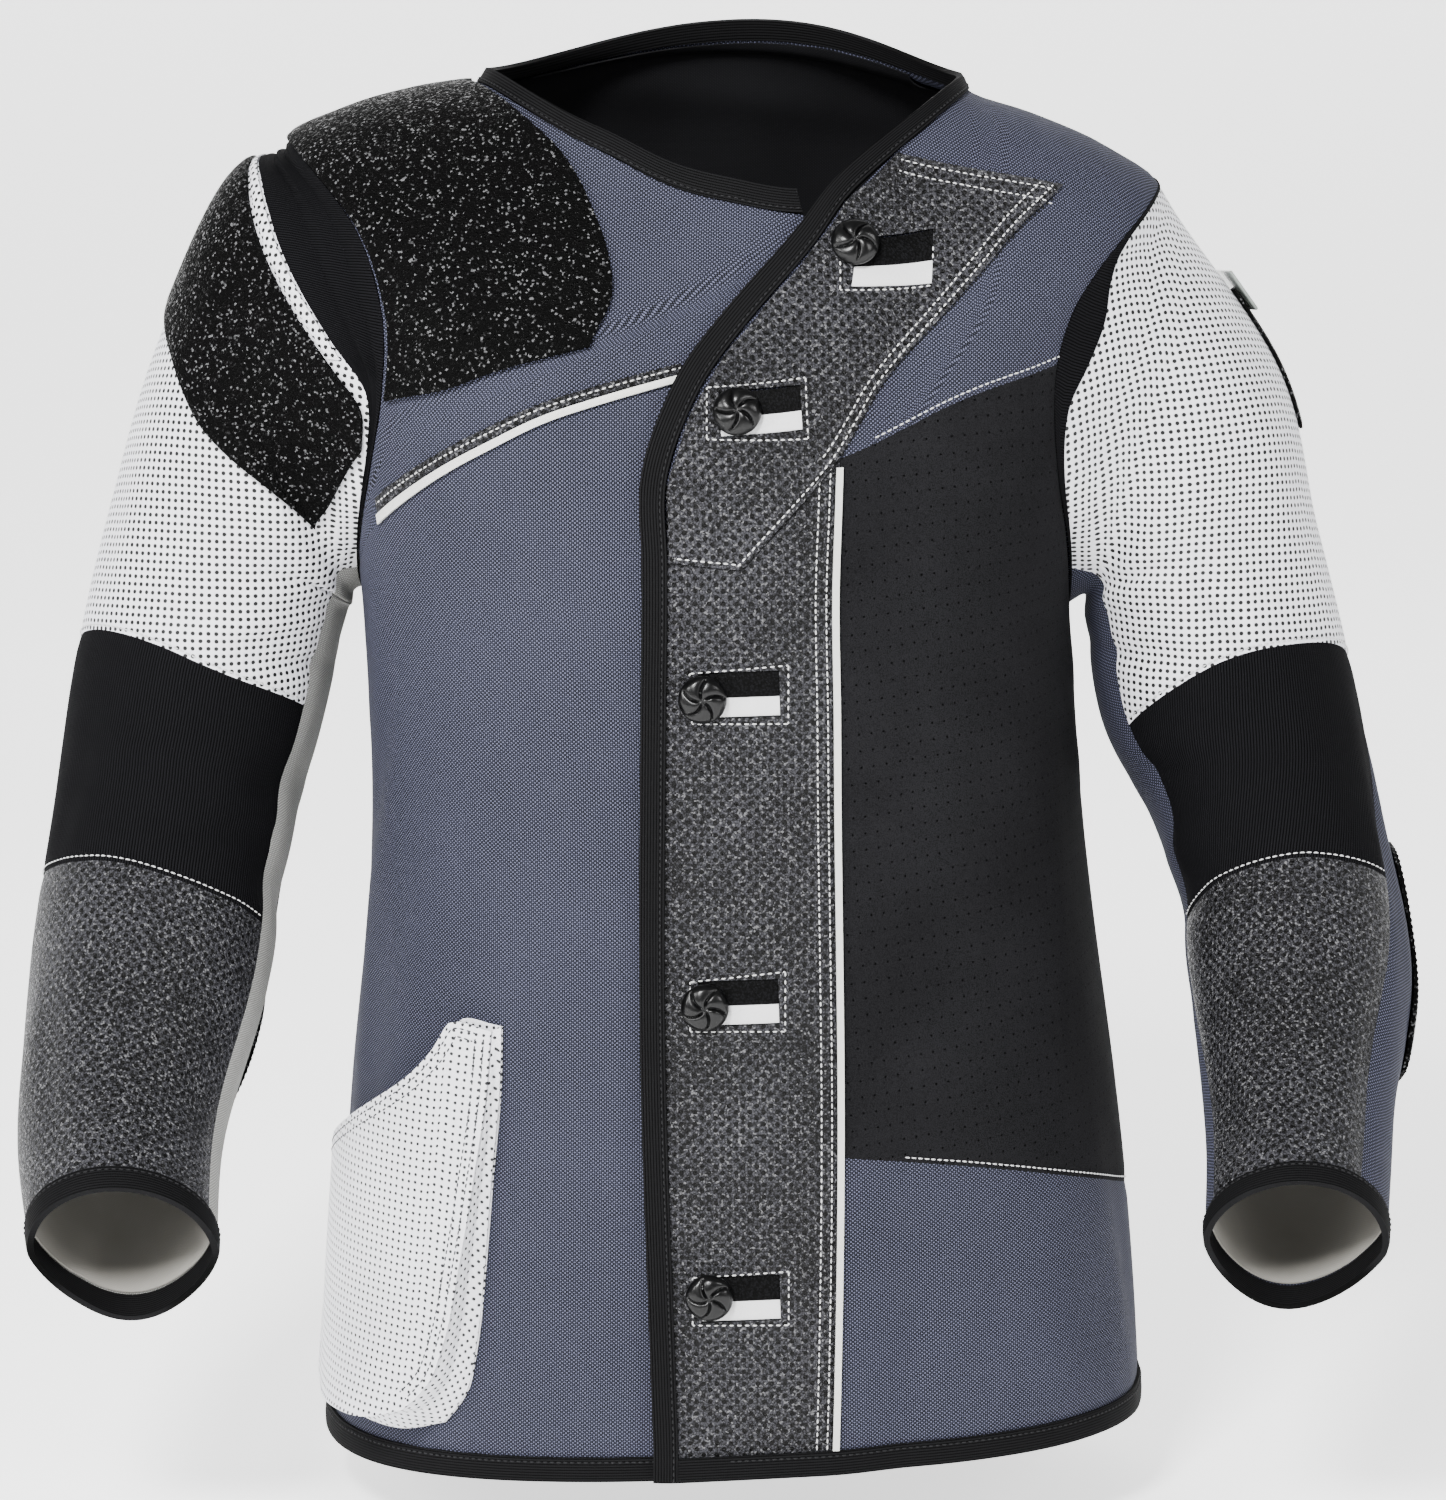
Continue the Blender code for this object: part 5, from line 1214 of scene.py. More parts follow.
@dataclass
class Tailor:
    """Sews fine sheets on the forms, each in the place of its solid, and the stitches on them."""

    jacket: Jacket
    made: dict[str, Piece] = field(default_factory=dict)
    trees: dict[str, BVHTree] = field(default_factory=dict)

    def keep(self, node: str, mesh: bpy.types.Mesh, finish: Finish) -> Piece:
        """Puts a finished mesh in the scene for its solid.

        Args:
            node: The solid that it stands for.
            mesh: The finished mesh.
            finish: Its material.

        Returns:
            The piece.
        """
        piece = placed(f"dressed_{node}", mesh)
        mesh.materials.append(finish.material())
        bpy.ops.object.select_all(action="DESELECT")
        piece.select_set(True)
        bpy.context.view_layer.objects.active = piece
        bpy.ops.object.shade_smooth_by_angle(angle=SMOOTH_ANGLE)
        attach(piece, "root")
        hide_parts(node)
        self.made[node] = piece
        LOG.info("%s: %d faces in %s", piece.name, len(mesh.polygons), finish.name)
        return piece

    def sheet(self, node: str, outer: Array, inner: Array, finish: Finish, ring: bool = False) -> Piece:
        """A closed thin sheet between two grids of points, mapped in millimetres of cloth.

        Args:
            node: The solid that it stands for.
            outer: Points of the outer face.
            inner: Points of the inner face.
            finish: Its material.
            ring: Whether it closes round a sleeve.

        Returns:
            The piece.
        """
        rows, columns = outer.shape[:2]
        index = np.arange(rows * columns).reshape(rows, columns)
        right, down = run_lengths(outer, 1, ring), run_lengths(outer, 0, ring)
        if not ring and (finish.weave or finish.holes[0]):
            right, down = flattened(outer, right, down)
        if ring:
            index = np.concatenate([index, index[:, :1]], axis=1)
            down = np.concatenate([down, down[:, :1]], axis=1)
        places = paired(right, down)
        below = index + rows * columns
        first, last = slice(None, -1), slice(1, None)
        quads, maps = [], []

        def strip(*corners: tuple[Array, tuple]) -> None:
            """Adds the quads between four corner grids."""
            quads.append(np.stack([grid[cut].reshape(-1) for grid, cut in corners], axis=1))
            maps.append(np.stack([places[cut].reshape(-1, 2) for grid, cut in corners], axis=1))

        a, b, c, d = (first, first), (first, last), (last, last), (last, first)
        strip((index, a), (index, b), (index, c), (index, d))
        strip((below, a), (below, d), (below, c), (below, b))
        for row, turn in ((0, 1), (-1, -1)):
            a, b = (row, first), (row, last)
            strip(*((below, a), (below, b), (index, b), (index, a))[::turn])
        for column, turn in ((0, 1), (-1, -1)) if not ring else ():
            a, b = (first, column), (last, column)
            strip(*((index, a), (index, b), (below, b), (below, a))[::turn])
        points = np.concatenate([outer.reshape(-1, 3), inner.reshape(-1, 3)]) * MM
        mesh = closed_mesh(f"dressed_{node}", points, np.concatenate(quads), np.concatenate(maps))
        piece = self.keep(node, mesh, finish)
        wide, long = (float(np.ptp(run, axis=axis).max()) * MM for run, axis in ((right, 1), (down, 0)))
        return piece

    def wall(
        self, node: str, form: Form, spots: Array, finish: Finish, inner: float = -CLOTH, outer: float = 0.0,
        ring: bool = False, lapped: bool = False, dip: float = SEAM_DIP, bulge: float = 0.0,
    ) -> Piece:
        """A panel of the shell, dipped at its seams and creased.

        Args:
            node: The solid that it stands for.
            form: The form that it lies on.
            spots: Places on the form.
            finish: Its material.
            inner: Inner face, off the form.
            outer: Outer face, off the form.
            ring: Whether it closes round a sleeve.
            lapped: Whether it stands off with the left front.
            dip: How deep it dips at its seams.
            bulge: How far its middle stands out.

        Returns:
            The piece.
        """
        fine = refined(spots, form, ring)
        lift = self.lift(form, fine, lapped)
        sunk = dip * np.exp(-(inset(form.at(fine), ring) / DIP_WIDTH) ** 2)
        across = np.linspace(-1, 1, fine.shape[0])[:, None]
        high = lift + outer - sunk + bulge * (1 - across ** 4)
        return self.sheet(node, form.at(fine, high), form.at(fine, lift + inner), finish, ring)

    def tape(self, node: str, form: Form, spots: Array, **more: bool) -> Piece:
        """Binding tape over an edge."""
        return self.wall(node, form, spots, TAPE, TAPE_IN, TAPE_OUT, dip=0, bulge=TAPE_BULGE, **more)

    def lift(self, form: Form, spots: Array, lapped: bool) -> Array:
        """How far the creases and the lap move the cloth at these places."""
        return form.creased(spots) + (self.jacket.lap(spots) if lapped else 0.0)

    def tree(self, node: str) -> BVHTree:
        """The search tree of a dressed piece, made once.

        Args:
            node: The solid that it stands for.

        Returns:
            The tree.
        """
        if node not in self.trees:
            mesh = self.made[node].data
            corners = [vertex.co for vertex in mesh.vertices]
            self.trees[node] = BVHTree.FromPolygons(corners, [face.vertices for face in mesh.polygons])
        return self.trees[node]

    def standing(
        self, form: Form, spots: Array, bases: Sequence[str], lapped: bool = False, reach: float = REACH
    ) -> Array:
        """How far off the form the pieces under these places reach.

        Args:
            form: The form that it lies on.
            spots: Places on the form.
            bases: Pieces that it lies on.
            lapped: Whether it stands off with the left front.
            reach: How far off the form to look, in millimetres.

        Returns:
            Millimetres off the form.
        """
        points, normals = form.at(spots) * MM, form.outward(spots)
        high = self.lift(form, spots, lapped)
        trees = [self.tree(base) for base in bases]
        for place in np.ndindex(high.shape):
            normal = Vector(normals[place])
            start = Vector(points[place]) + normal * reach * MM
            for tree in trees:
                distance = tree.ray_cast(start, -normal, 2 * reach * MM)[3]
                if distance is not None:
                    high[place] = max(high[place], reach - distance / MM)
        return high

    def overlay(
        self, node: str, form: Form, spots: Array, bases: Sequence[str], thick: float, finish: Finish,
        more: float = 0.0, lapped: bool = False,
    ) -> Piece:
        """A sheet that lies on panels, its edges a little rounded.

        Args:
            node: The solid that it stands for.
            form: The form that it lies on.
            spots: Places on the form.
            bases: Pieces that it lies on.
            thick: Its wall in millimetres.
            finish: Its material.
            more: More room under it.
            lapped: Whether it stands off with the left front.

        Returns:
            The piece.
        """
        fine = refined(spots, form)
        low = self.standing(form, fine, bases, lapped) + OVERLAY_GAP * GAP_SHARE + more
        high = low + thick - ROUND_DEEP * np.exp(-(inset(form.at(fine)) / ROUND_WIDE) ** 2)
        return self.sheet(node, form.at(fine, high), form.at(fine, low), finish)

    def cut(self, node: str, cutter: Piece) -> None:
        """Cuts a window through a dressed sheet and removes the cutter.

        Args:
            node: The solid that it stands for.
            cutter: The block to cut with.
        """
        piece = self.made[node]
        modifier = piece.modifiers.new("window", "BOOLEAN")
        modifier.operation, modifier.solver, modifier.object = "DIFFERENCE", "EXACT", cutter
        bpy.context.view_layer.objects.active = piece
        bpy.ops.object.modifier_apply(modifier=modifier.name)
        bpy.data.objects.remove(cutter)
        self.trees.pop(node, None)

    def sew(
        self, name: str, form: Form, lines: Sequence[Array], bases: Sequence[str], finish: Finish = THREAD,
        lapped: bool = False, reach: float = REACH,
    ) -> None:
        """A row of stitches along each line, all in one mesh.

        Args:
            name: The piece's name.
            form: The form that it lies on.
            lines: Lines of places.
            bases: Pieces that it lies on.
            finish: Its material.
            lapped: Whether it stands off with the left front.
            reach: How far off the form to look, in millimetres.
        """
        starts, ends, ups = [], [], []
        for line in lines:
            line = np.asarray(line, float)
            flat = form.at(line)
            run = np.concatenate([[0], np.cumsum(np.linalg.norm(np.diff(flat, axis=0), axis=1))])
            count = max(2, int(run[-1] / STITCH_STEP))
            places = np.linspace(0, run[-1] - STITCH_LONG * 0.5, count)
            for offset, points in ((0.0, starts), (STITCH_LONG, ends)):
                spots = np.stack([np.interp(places + offset, run, line[:, a]) for a in (0, 1)], axis=-1)
                high = self.standing(form, spots[None], bases, lapped, reach)[0] + STITCH_OUT
                points.append(form.at(spots, high))
                if not offset:
                    ups.append(form.outward(spots))
        starts, ends, ups = np.concatenate(starts), np.concatenate(ends), np.concatenate(ups)
        side = np.cross(unit(ends - starts), ups)
        rings = []
        for share, wide, sink in STITCH_RINGS:
            middle = starts + (ends - starts) * share - ups * sink
            for c, s in ((1, 0), (0, 1), (-1, 0), (0, -1)):
                rings.append(middle + (side * c + ups * s * STITCH_FLAT) * wide * STITCH_WIDE)
        points = np.stack(rings, axis=1).reshape(-1, 3) * MM
        count = len(STITCH_RINGS) * 4
        around = ((k, a, (a + 1) % 4) for k in (0, 4, 8) for a in range(4))
        sides = [(k + a, k + b, k + 4 + b, k + 4 + a) for k, a, b in around]
        shape = np.array(sides + [(3, 2, 1, 0), tuple(range(count - 4, count))])
        quads = (shape[None] + count * np.arange(len(starts))[:, None, None]).reshape(-1, 4)
        mesh = closed_mesh(name, points, quads)
        mesh.shade_smooth()
        mesh.materials.append(finish.material())
        piece = placed(name, mesh)
        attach(piece, "root")
        LOG.info("%s: %d stitches", name, len(starts))


@dataclass
class Back:
    """One back from side seam to side seam, its bound neck and hem, and the lining at the neck."""

    tailor: Tailor
    cells: int = 16

    def build(self) -> None:
        """Makes and dresses the back's pieces."""
        tailor, torso = self.tailor, self.tailor.jacket.torso
        low, hem = hem_lines(0.5, 1.5, self.cells)
        neck = curve(BACK_NECK, self.cells)
        sides = {}
        for side in Side:
            hole = armhole(side, armhole_turns(90, 270)[::-1])
            if side is Side.RIGHT:
                hole[:, 0] += 2
            start, end = (hem[0], neck[0]) if side is Side.LEFT else (hem[-1], neck[-1])
            up, over = curve((start, hole[0]), 9), curve((hole[-1], end), 3)
            sides[side] = join(up, hole, over)
        panel = patch(hem, neck, sides[Side.LEFT], sides[Side.RIGHT])
        tailor.wall("back", torso, panel, CANVAS)
        tailor.tape("hem_binding_back", torso, np.stack([low, hem]))
        edge = np.stack([neck, neck + (0, TAPE_WIDTH)])
        tailor.tape("neck_binding_back", torso, edge)
        lining = np.concatenate([panel[-LINING_ROWS:-1, 3:-3], panel[-1:, 3:-3] - (0, 1.0)])
        tailor.wall("neck_lining", torso, lining, NECK, *NECK_LINING, dip=0)
        rows = [neck + (0, TAPE_STITCH), hem[1:-1] - (0, TAPE_STITCH)]
        tailor.sew("stitches_back", torso, rows, ("neck_binding_back", "hem_binding_back"), DARK_THREAD_AND_SHADOW)


@dataclass
class RightFront:
    """Lower canvas, shoulder canvas, the piped seam between them, the bound edges and the shoulder pad."""

    tailor: Tailor
    strip_stitch: float = 4.6
    trim_tuck: float = 14.0

    def build(self) -> None:
        """Makes and dresses the right front."""
        tailor, jacket = self.tailor, self.tailor.jacket
        torso = jacket.torso
        turns = armhole_turns(-90, TIP_TURN)
        hole = armhole(Side.RIGHT, turns)
        yoke_side, low_side = hole[turns >= YOKE_TURN], hole[turns <= YOKE_TURN]
        line = np.concatenate([yoke_side[:1], jacket.front(RIGHT_PIPING)])
        seam = curve(line, 9)
        low, hem = hem_lines(-0.5, jacket.front((UNDERLAP, TAPE_WIDTH))[0], 9)
        left = join(curve((hem[0], hole[0]), 9), low_side)
        right = curve((hem[-1], seam[-1]), len(left) - 1)
        tailor.wall("right_front", torso, patch(hem, seam, left, right), CANVAS)
        tailor.tape("hem_binding_right", torso, np.stack([low, hem]))
        shoulder_neck = np.array([-0.5, RIGHT_NECK_END])
        neck = np.concatenate([jacket.front(RIGHT_NECK), [shoulder_neck]])
        neck = curve(neck, len(yoke_side) - 4)
        edge = join(curve((seam[-1], neck[0]), 3), neck)
        top = curve((yoke_side[-1], shoulder_neck), 9)
        tailor.wall("right_shoulder", torso, patch(seam, top, yoke_side, edge), CANVAS)
        bound = np.stack([neck, neck + (0, TAPE_WIDTH)])
        tailor.tape("neck_binding_right", torso, bound)
        self.trim(curve(line, 60))
        self.pad()
        rows = [neck + (0, TAPE_STITCH), hem[:-1] - (0, TAPE_STITCH)]
        bases = ("neck_binding_right", "hem_binding_right")
        tailor.sew("stitches_right_tape", torso, rows, bases, DARK_THREAD_AND_SHADOW)

    def trim(self, line: Array) -> None:
        """Piping, the perforated strip above it and its row of stitches.

        Args:
            line: Places along a line.
        """
        tailor, torso = self.tailor, self.tailor.jacket.torso
        across = tailor.jacket.across(line)
        line = line[(across > TRIM_START) & (across < TRIM_END + self.trim_tuck)]
        bases = ("right_front", "right_shoulder")
        for name, edges, thick, finish in (
            ("right_piping", (-PIPING_HALF, PIPING_HALF), PIPING_WALL, PIPING),
            ("right_seam_strip", STRIP, STRIP_WALL, CHARCOAL),
        ):
            tailor.overlay(name, torso, np.stack([line + (0, edge) for edge in edges]), bases, thick, finish)
        rows = [line + (0, self.strip_stitch)]
        tailor.sew("stitches_right_seam", torso, rows, ("right_seam_strip",))

    def pad(self) -> None:
        """Rubber pad over the right shoulder, from the chest to just behind the shoulder seam."""
        jacket = self.tailor.jacket
        side = armhole(Side.RIGHT, np.linspace(-2, 86, 11))
        side[:, 0] += PAD_INSET
        bottom = curve(np.concatenate([side[:1], jacket.front(PAD_BOTTOM[1:])]), 10)
        behind = -PAD_BACK / 2
        end_low, end_high = (behind, PAD_BACK_ROWS[0]), (behind, PAD_BACK_ROWS[1])
        outer_edge = join(side, curve((side[-1], end_low), 3))
        inner_edge = np.concatenate([jacket.front(PAD_INNER), [end_high]])
        inner_edge = curve(inner_edge, len(outer_edge) - 1)
        top = curve((end_low, end_high), 10)
        spots = patch(bottom, top, outer_edge, inner_edge)
        bases = ("right_shoulder", "back")
        self.tailor.overlay("chest_pad", jacket.torso, spots, bases, RUBBER_WALL, RUBBER, PAD_GAP)


@dataclass
class LeftFront:
    """Shoulder canvas, suede chest, lower canvas, placket, its flap and piping, and the bound edges."""

    tailor: Tailor
    placket_rows: tuple[float, float] = (-4.2, -9.2)
    flap_rows: tuple[float, float] = (2.4, 6.4)

    def build(self) -> None:
        """Makes and dresses the left front."""
        tailor, jacket = self.tailor, self.tailor.jacket
        torso = jacket.torso
        turns = armhole_turns(-90, TIP_TURN)
        hole = armhole(Side.LEFT, turns)
        chest_side, shoulder_side = hole[turns <= CHEST_TURN], hole[turns >= CHEST_TURN]
        suede_top = curve(np.concatenate([jacket.front(SUEDE_TOP), chest_side[-1:]]), 7)
        edge = curve(jacket.front(LEFT_EDGE), len(shoulder_side) - 1)
        placket_top = curve((edge[0], suede_top[0]), 3)
        corners = jacket.front(((LEFT_EDGE_BOTTOM, TAPE_WIDTH), (PLACKET_SEAM, TAPE_WIDTH)))[:, 0]
        low_placket, hem_placket = hem_lines(*corners, 3)
        low_left, hem_left = hem_lines(corners[1], 0.5, 7)
        ends = hem_left[0], suede_top[0]
        suede_front = placket_line(ends, SUEDE_BOTTOM[0], suede_top[0, 1], 8 + len(chest_side) - 1)
        suede_low = curve((suede_front[0], jacket.front(SUEDE_BOTTOM[1]), (0.5, SUEDE_SIDE)), 7)

        def panel(name: str, bottom: Array, top: Array, left: Array, right: Array, finish: Finish) -> None:
            """Sews one panel of the left front."""
            tailor.wall(name, torso, patch(bottom, top, left, right), finish, lapped=True)

        suede_side = join(curve((suede_low[-1], chest_side[0]), 8), chest_side)
        panel("left_chest", suede_low, suede_top, suede_front, suede_side, SUEDE)
        skirt_front = placket_line(ends, hem_left[0, 1], SUEDE_BOTTOM[0], 4)
        skirt_side = curve((hem_left[-1], suede_low[-1]), 4)
        panel("left_skirt", hem_left, suede_low, skirt_front, skirt_side, CANVAS)
        placket_edge = curve((hem_placket[0], jacket.front((-30, 250)), placket_top[0]), 13)
        placket_seam = placket_line(ends, hem_placket[-1, 1], placket_top[-1, 1], 13)
        panel("placket", hem_placket, placket_top, placket_edge, placket_seam, CHARCOAL)
        flap_end, shoulder_neck = jacket.front(FLAP_END), (0.5, LEFT_NECK_END)
        neck = join(curve((edge[-1], flap_end), 1), curve((flap_end, shoulder_neck), 4))
        top = join(neck, curve((neck[-1], shoulder_side[-1]), 5))
        panel("left_shoulder", join(placket_top, suede_top), top, edge, shoulder_side, CANVAS)
        hem = np.stack([join(low_placket, low_left), join(hem_placket, hem_left)])
        self.bindings(hem, join(placket_edge, edge, neck))
        self.flap(join(placket_edge[-2:], edge, neck[:2]))
        self.trim(placket_line(ends, 14, PLACKET_TOP - 4, 60), suede_top, suede_low)

    def bindings(self, hem: Array, edge: Array) -> None:
        """Tape along the hem, up the front edge and round the neck to the shoulder.

        Args:
            hem: The hem and its seam.
            edge: The bound edge, up the front and round the neck.
        """
        tailor, jacket = self.tailor, self.tailor.jacket
        tailor.tape("hem_binding_left", jacket.torso, hem, lapped=True)
        inside = np.concatenate([hem[0, :1], edge])
        outside = shifted(jacket, inside, -TAPE_WIDTH)
        outside[0, 1], outside[-1] = inside[0, 1], inside[-1] + (0, TAPE_WIDTH)
        spots = np.stack([outside, inside])
        tailor.tape("front_binding_left", jacket.torso, spots, lapped=True)
        row = shifted(jacket, refined(spots, jacket.torso)[-1], -TAPE_STITCH)
        rows = [row, hem[1, 1:] - (0, TAPE_STITCH)]
        bases = ("front_binding_left", "hem_binding_left")
        tailor.sew("stitches_left_tape", jacket.torso, rows, bases, DARK_THREAD_AND_SHADOW, lapped=True)

    def flap(self, edge: Array) -> None:
        """Pointed leather flap over the top of the placket and the left shoulder, along their bound edge.

        Args:
            edge: The bound edge, up the front and round the neck.
        """
        tailor, jacket = self.tailor, self.tailor.jacket
        left = shifted(jacket, halved(edge), FLAP_INSET)
        right = curve(jacket.front(FLAP_RIGHT), len(left) - 1)
        bottom, top = curve((left[0], right[0]), 6), curve((left[-1], right[-1]), 6)
        bases = ("placket", "left_shoulder", "left_chest")
        spots = patch(bottom, top, left, right)
        tailor.overlay("placket_flap", jacket.torso, spots, bases, PATCH, CHARCOAL, lapped=True)
        low, high = self.flap_rows
        side = curve(right, 60)
        seam = curve(top[::-1], 30)
        rows = [shifted(jacket, side, -low)[:-2], shifted(jacket, side[16:], -high)[:-4]]
        rows += [shifted(jacket, seam, -low)[1:-1], shifted(jacket, seam, -high)[2:-1]]
        rows.append(curve(bottom, 20) + (0, low))
        tailor.sew("stitches_flap", jacket.torso, rows, ("placket_flap",), lapped=True)
        # Dark stitches just outside the flap's side and bottom: a painted shadow line under the flap's edge
        rows = [shifted(jacket, side[:-2], 0.6), curve(bottom, 20) - (0, 0.6)]
        tailor.sew("edge_shade_flap", jacket.torso, rows, bases, DARK_THREAD_AND_SHADOW, lapped=True)

    def trim(self, line: Array, suede_top: Array, suede_low: Array) -> None:
        """Piping along the placket, and the rows of stitches beside it and at the suede's seams.

        Args:
            line: Places along a line.
            suede_top: The suede's upper seam.
            suede_low: Its lower seam.
        """
        tailor, jacket = self.tailor, self.tailor.jacket
        spots = np.stack([shifted(jacket, line, -PIPING_HALF), shifted(jacket, line, PIPING_HALF)])
        bases = ("placket", "left_chest", "left_skirt")
        tailor.overlay("left_piping", jacket.torso, spots, bases, PIPING_WALL, PIPING, lapped=True)
        rows = [shifted(jacket, line, gap) for gap in self.placket_rows]
        tailor.sew("stitches_placket", jacket.torso, rows, ("placket",), lapped=True)
        rows = [suede_top + (0, 2.6), suede_low + (0, 2.4)]
        rows = [curve(row[1:], 40) for row in rows]
        tailor.sew("stitches_suede", jacket.torso, rows, ("left_chest", "left_shoulder"), lapped=True)


@dataclass
class Buttons:
    """Five pinwheel buttons, each over a window with the dark and the white lip of its slit."""

    tailor: Tailor
    lobes: int = 5
    groove: float = 1.0
    groove_wide: float = 0.6
    swirl: float = 0.35
    bulge: float = 0.8
    lean: float = 0.7
    dimple: float = 0.5

    def build(self) -> None:
        """Cuts the windows and makes the lips, the stitched frames and the buttons."""
        tailor, jacket = self.tailor, self.tailor.jacket
        torso = jacket.torso
        for k, (button, frame) in enumerate(zip(BUTTONS, WINDOW_FRAMES), start=1):
            across, row, hole_across, hole_row, wide, high, tilt = button
            leather = "placket_flap" if k <= FLAP_BUTTONS else "placket"
            tailor.cut(leather, self.cutter((hole_across, hole_row, wide, high, tilt)))
            free = high - 2 * SEAM_GAP
            dark = free * DARK_SHARE
            turn = math.radians(tilt)
            for name, tall, middle, finish in (
                (f"button_lip_dark_{k}", dark, free / 2 - dark / 2, DARK_LIP),
                (f"button_lip_white_{k}", free - dark - SEAM_GAP, (free - dark) / 2 - free / 2, WHITE_LIP),
            ):
                at = hole_across - middle * math.sin(turn), hole_row + middle * math.cos(turn)
                spots = front_patch(jacket, (*at, wide - SEAM_GAP, tall, tilt))
                low = OVERLAY_GAP if k <= FLAP_BUTTONS else -CLOTH
                tailor.wall(name, torso, spots, finish, low, low + LIP_WALL, lapped=True, dip=0.2, bulge=0.4)
            loop = jacket.front(frame + frame[:1])
            rows = [np.linspace(a, b, 12) for a, b in zip(loop, loop[1:])]
            tailor.sew(f"stitches_window_{k}", torso, rows, (leather,), lapped=True)
            self.button(k, (across, row), (OVERLAY_GAP + PATCH if k <= FLAP_BUTTONS else 0.0) + SEAM_GAP)

    def cutter(self, window: tuple[float, ...]) -> Piece:
        """A block through the leather where a window opens.

        Args:
            window: Middle, size and tilt.

        Returns:
            The block.
        """
        jacket = self.tailor.jacket
        spots = front_patch(jacket, window)
        lift = jacket.lap(spots)
        grids = [jacket.torso.at(spots, lift + height) * MM for height in CUTTER]
        corners = [grid[place] for grid in grids for place in ((0, 0), (0, -1), (-1, -1), (-1, 0))]
        faces = np.array([(3, 2, 1, 0), (4, 5, 6, 7), (0, 1, 5, 4), (1, 2, 6, 5), (2, 3, 7, 6), (3, 0, 4, 7)])
        return placed("window", closed_mesh("window", np.array(corners), faces))

    def button(self, number: int, place: tuple[float, float], seat: float) -> None:
        """One button: a low dome with lobes that swirl round its middle.

        Args:
            number: Which button.
            place: Its middle as (across, row).
            seat: Height of its back off the cloth.
        """
        jacket = self.tailor.jacket
        spot = jacket.front(place)
        normal = Vector(jacket.torso.outward(spot))
        side = (Vector((1, 0, 0)) - normal * normal.x).normalized()
        middle = jacket.torso.at(spot, jacket.lap(spot) + seat + BUTTON_HEIGHT * BUTTON_BELLY) * MM
        sphere = bpy.ops.mesh.primitive_uv_sphere_add
        made = primitive(sphere, segments=100, ring_count=56, radius=BUTTON_RADIUS)
        points = np.array([vertex.co for vertex in made.data.vertices])
        reach = np.hypot(points[:, 0], points[:, 1]) / BUTTON_RADIUS
        turn = np.arctan2(points[:, 1], points[:, 0])
        top = points[:, 2] > 0
        points[:, 2] *= np.where(top, 1 - BUTTON_BELLY, BUTTON_BELLY) * BUTTON_HEIGHT / BUTTON_RADIUS
        step = 2 * math.pi / self.lobes
        phase = (turn - self.swirl * (1 - reach) * 2 + number * 0.4) % step
        apart = np.minimum(phase, step - phase) * reach * BUTTON_RADIUS
        groove = self.groove * np.exp(-(apart / self.groove_wide) ** 2)
        groove = groove * ease((1.04 - reach) * 4) * ease(reach * 4)
        lobe = self.lean * (phase / step - 0.5) + self.bulge * np.sin(np.pi * phase / step)
        lobe = lobe * ease(reach * 2) * ease((1.0 - reach) * 5)
        points[:, 2] += np.where(top, lobe - groove - self.dimple * np.exp(-(reach / 0.12) ** 2), 0.0)
        made.data.vertices.foreach_set("co", (points * MM).astype(np.float32).ravel())
        mesh = moved_mesh(made, middle, side, normal.cross(side), normal)
        self.tailor.keep(f"button_{number}", mesh, HORN)


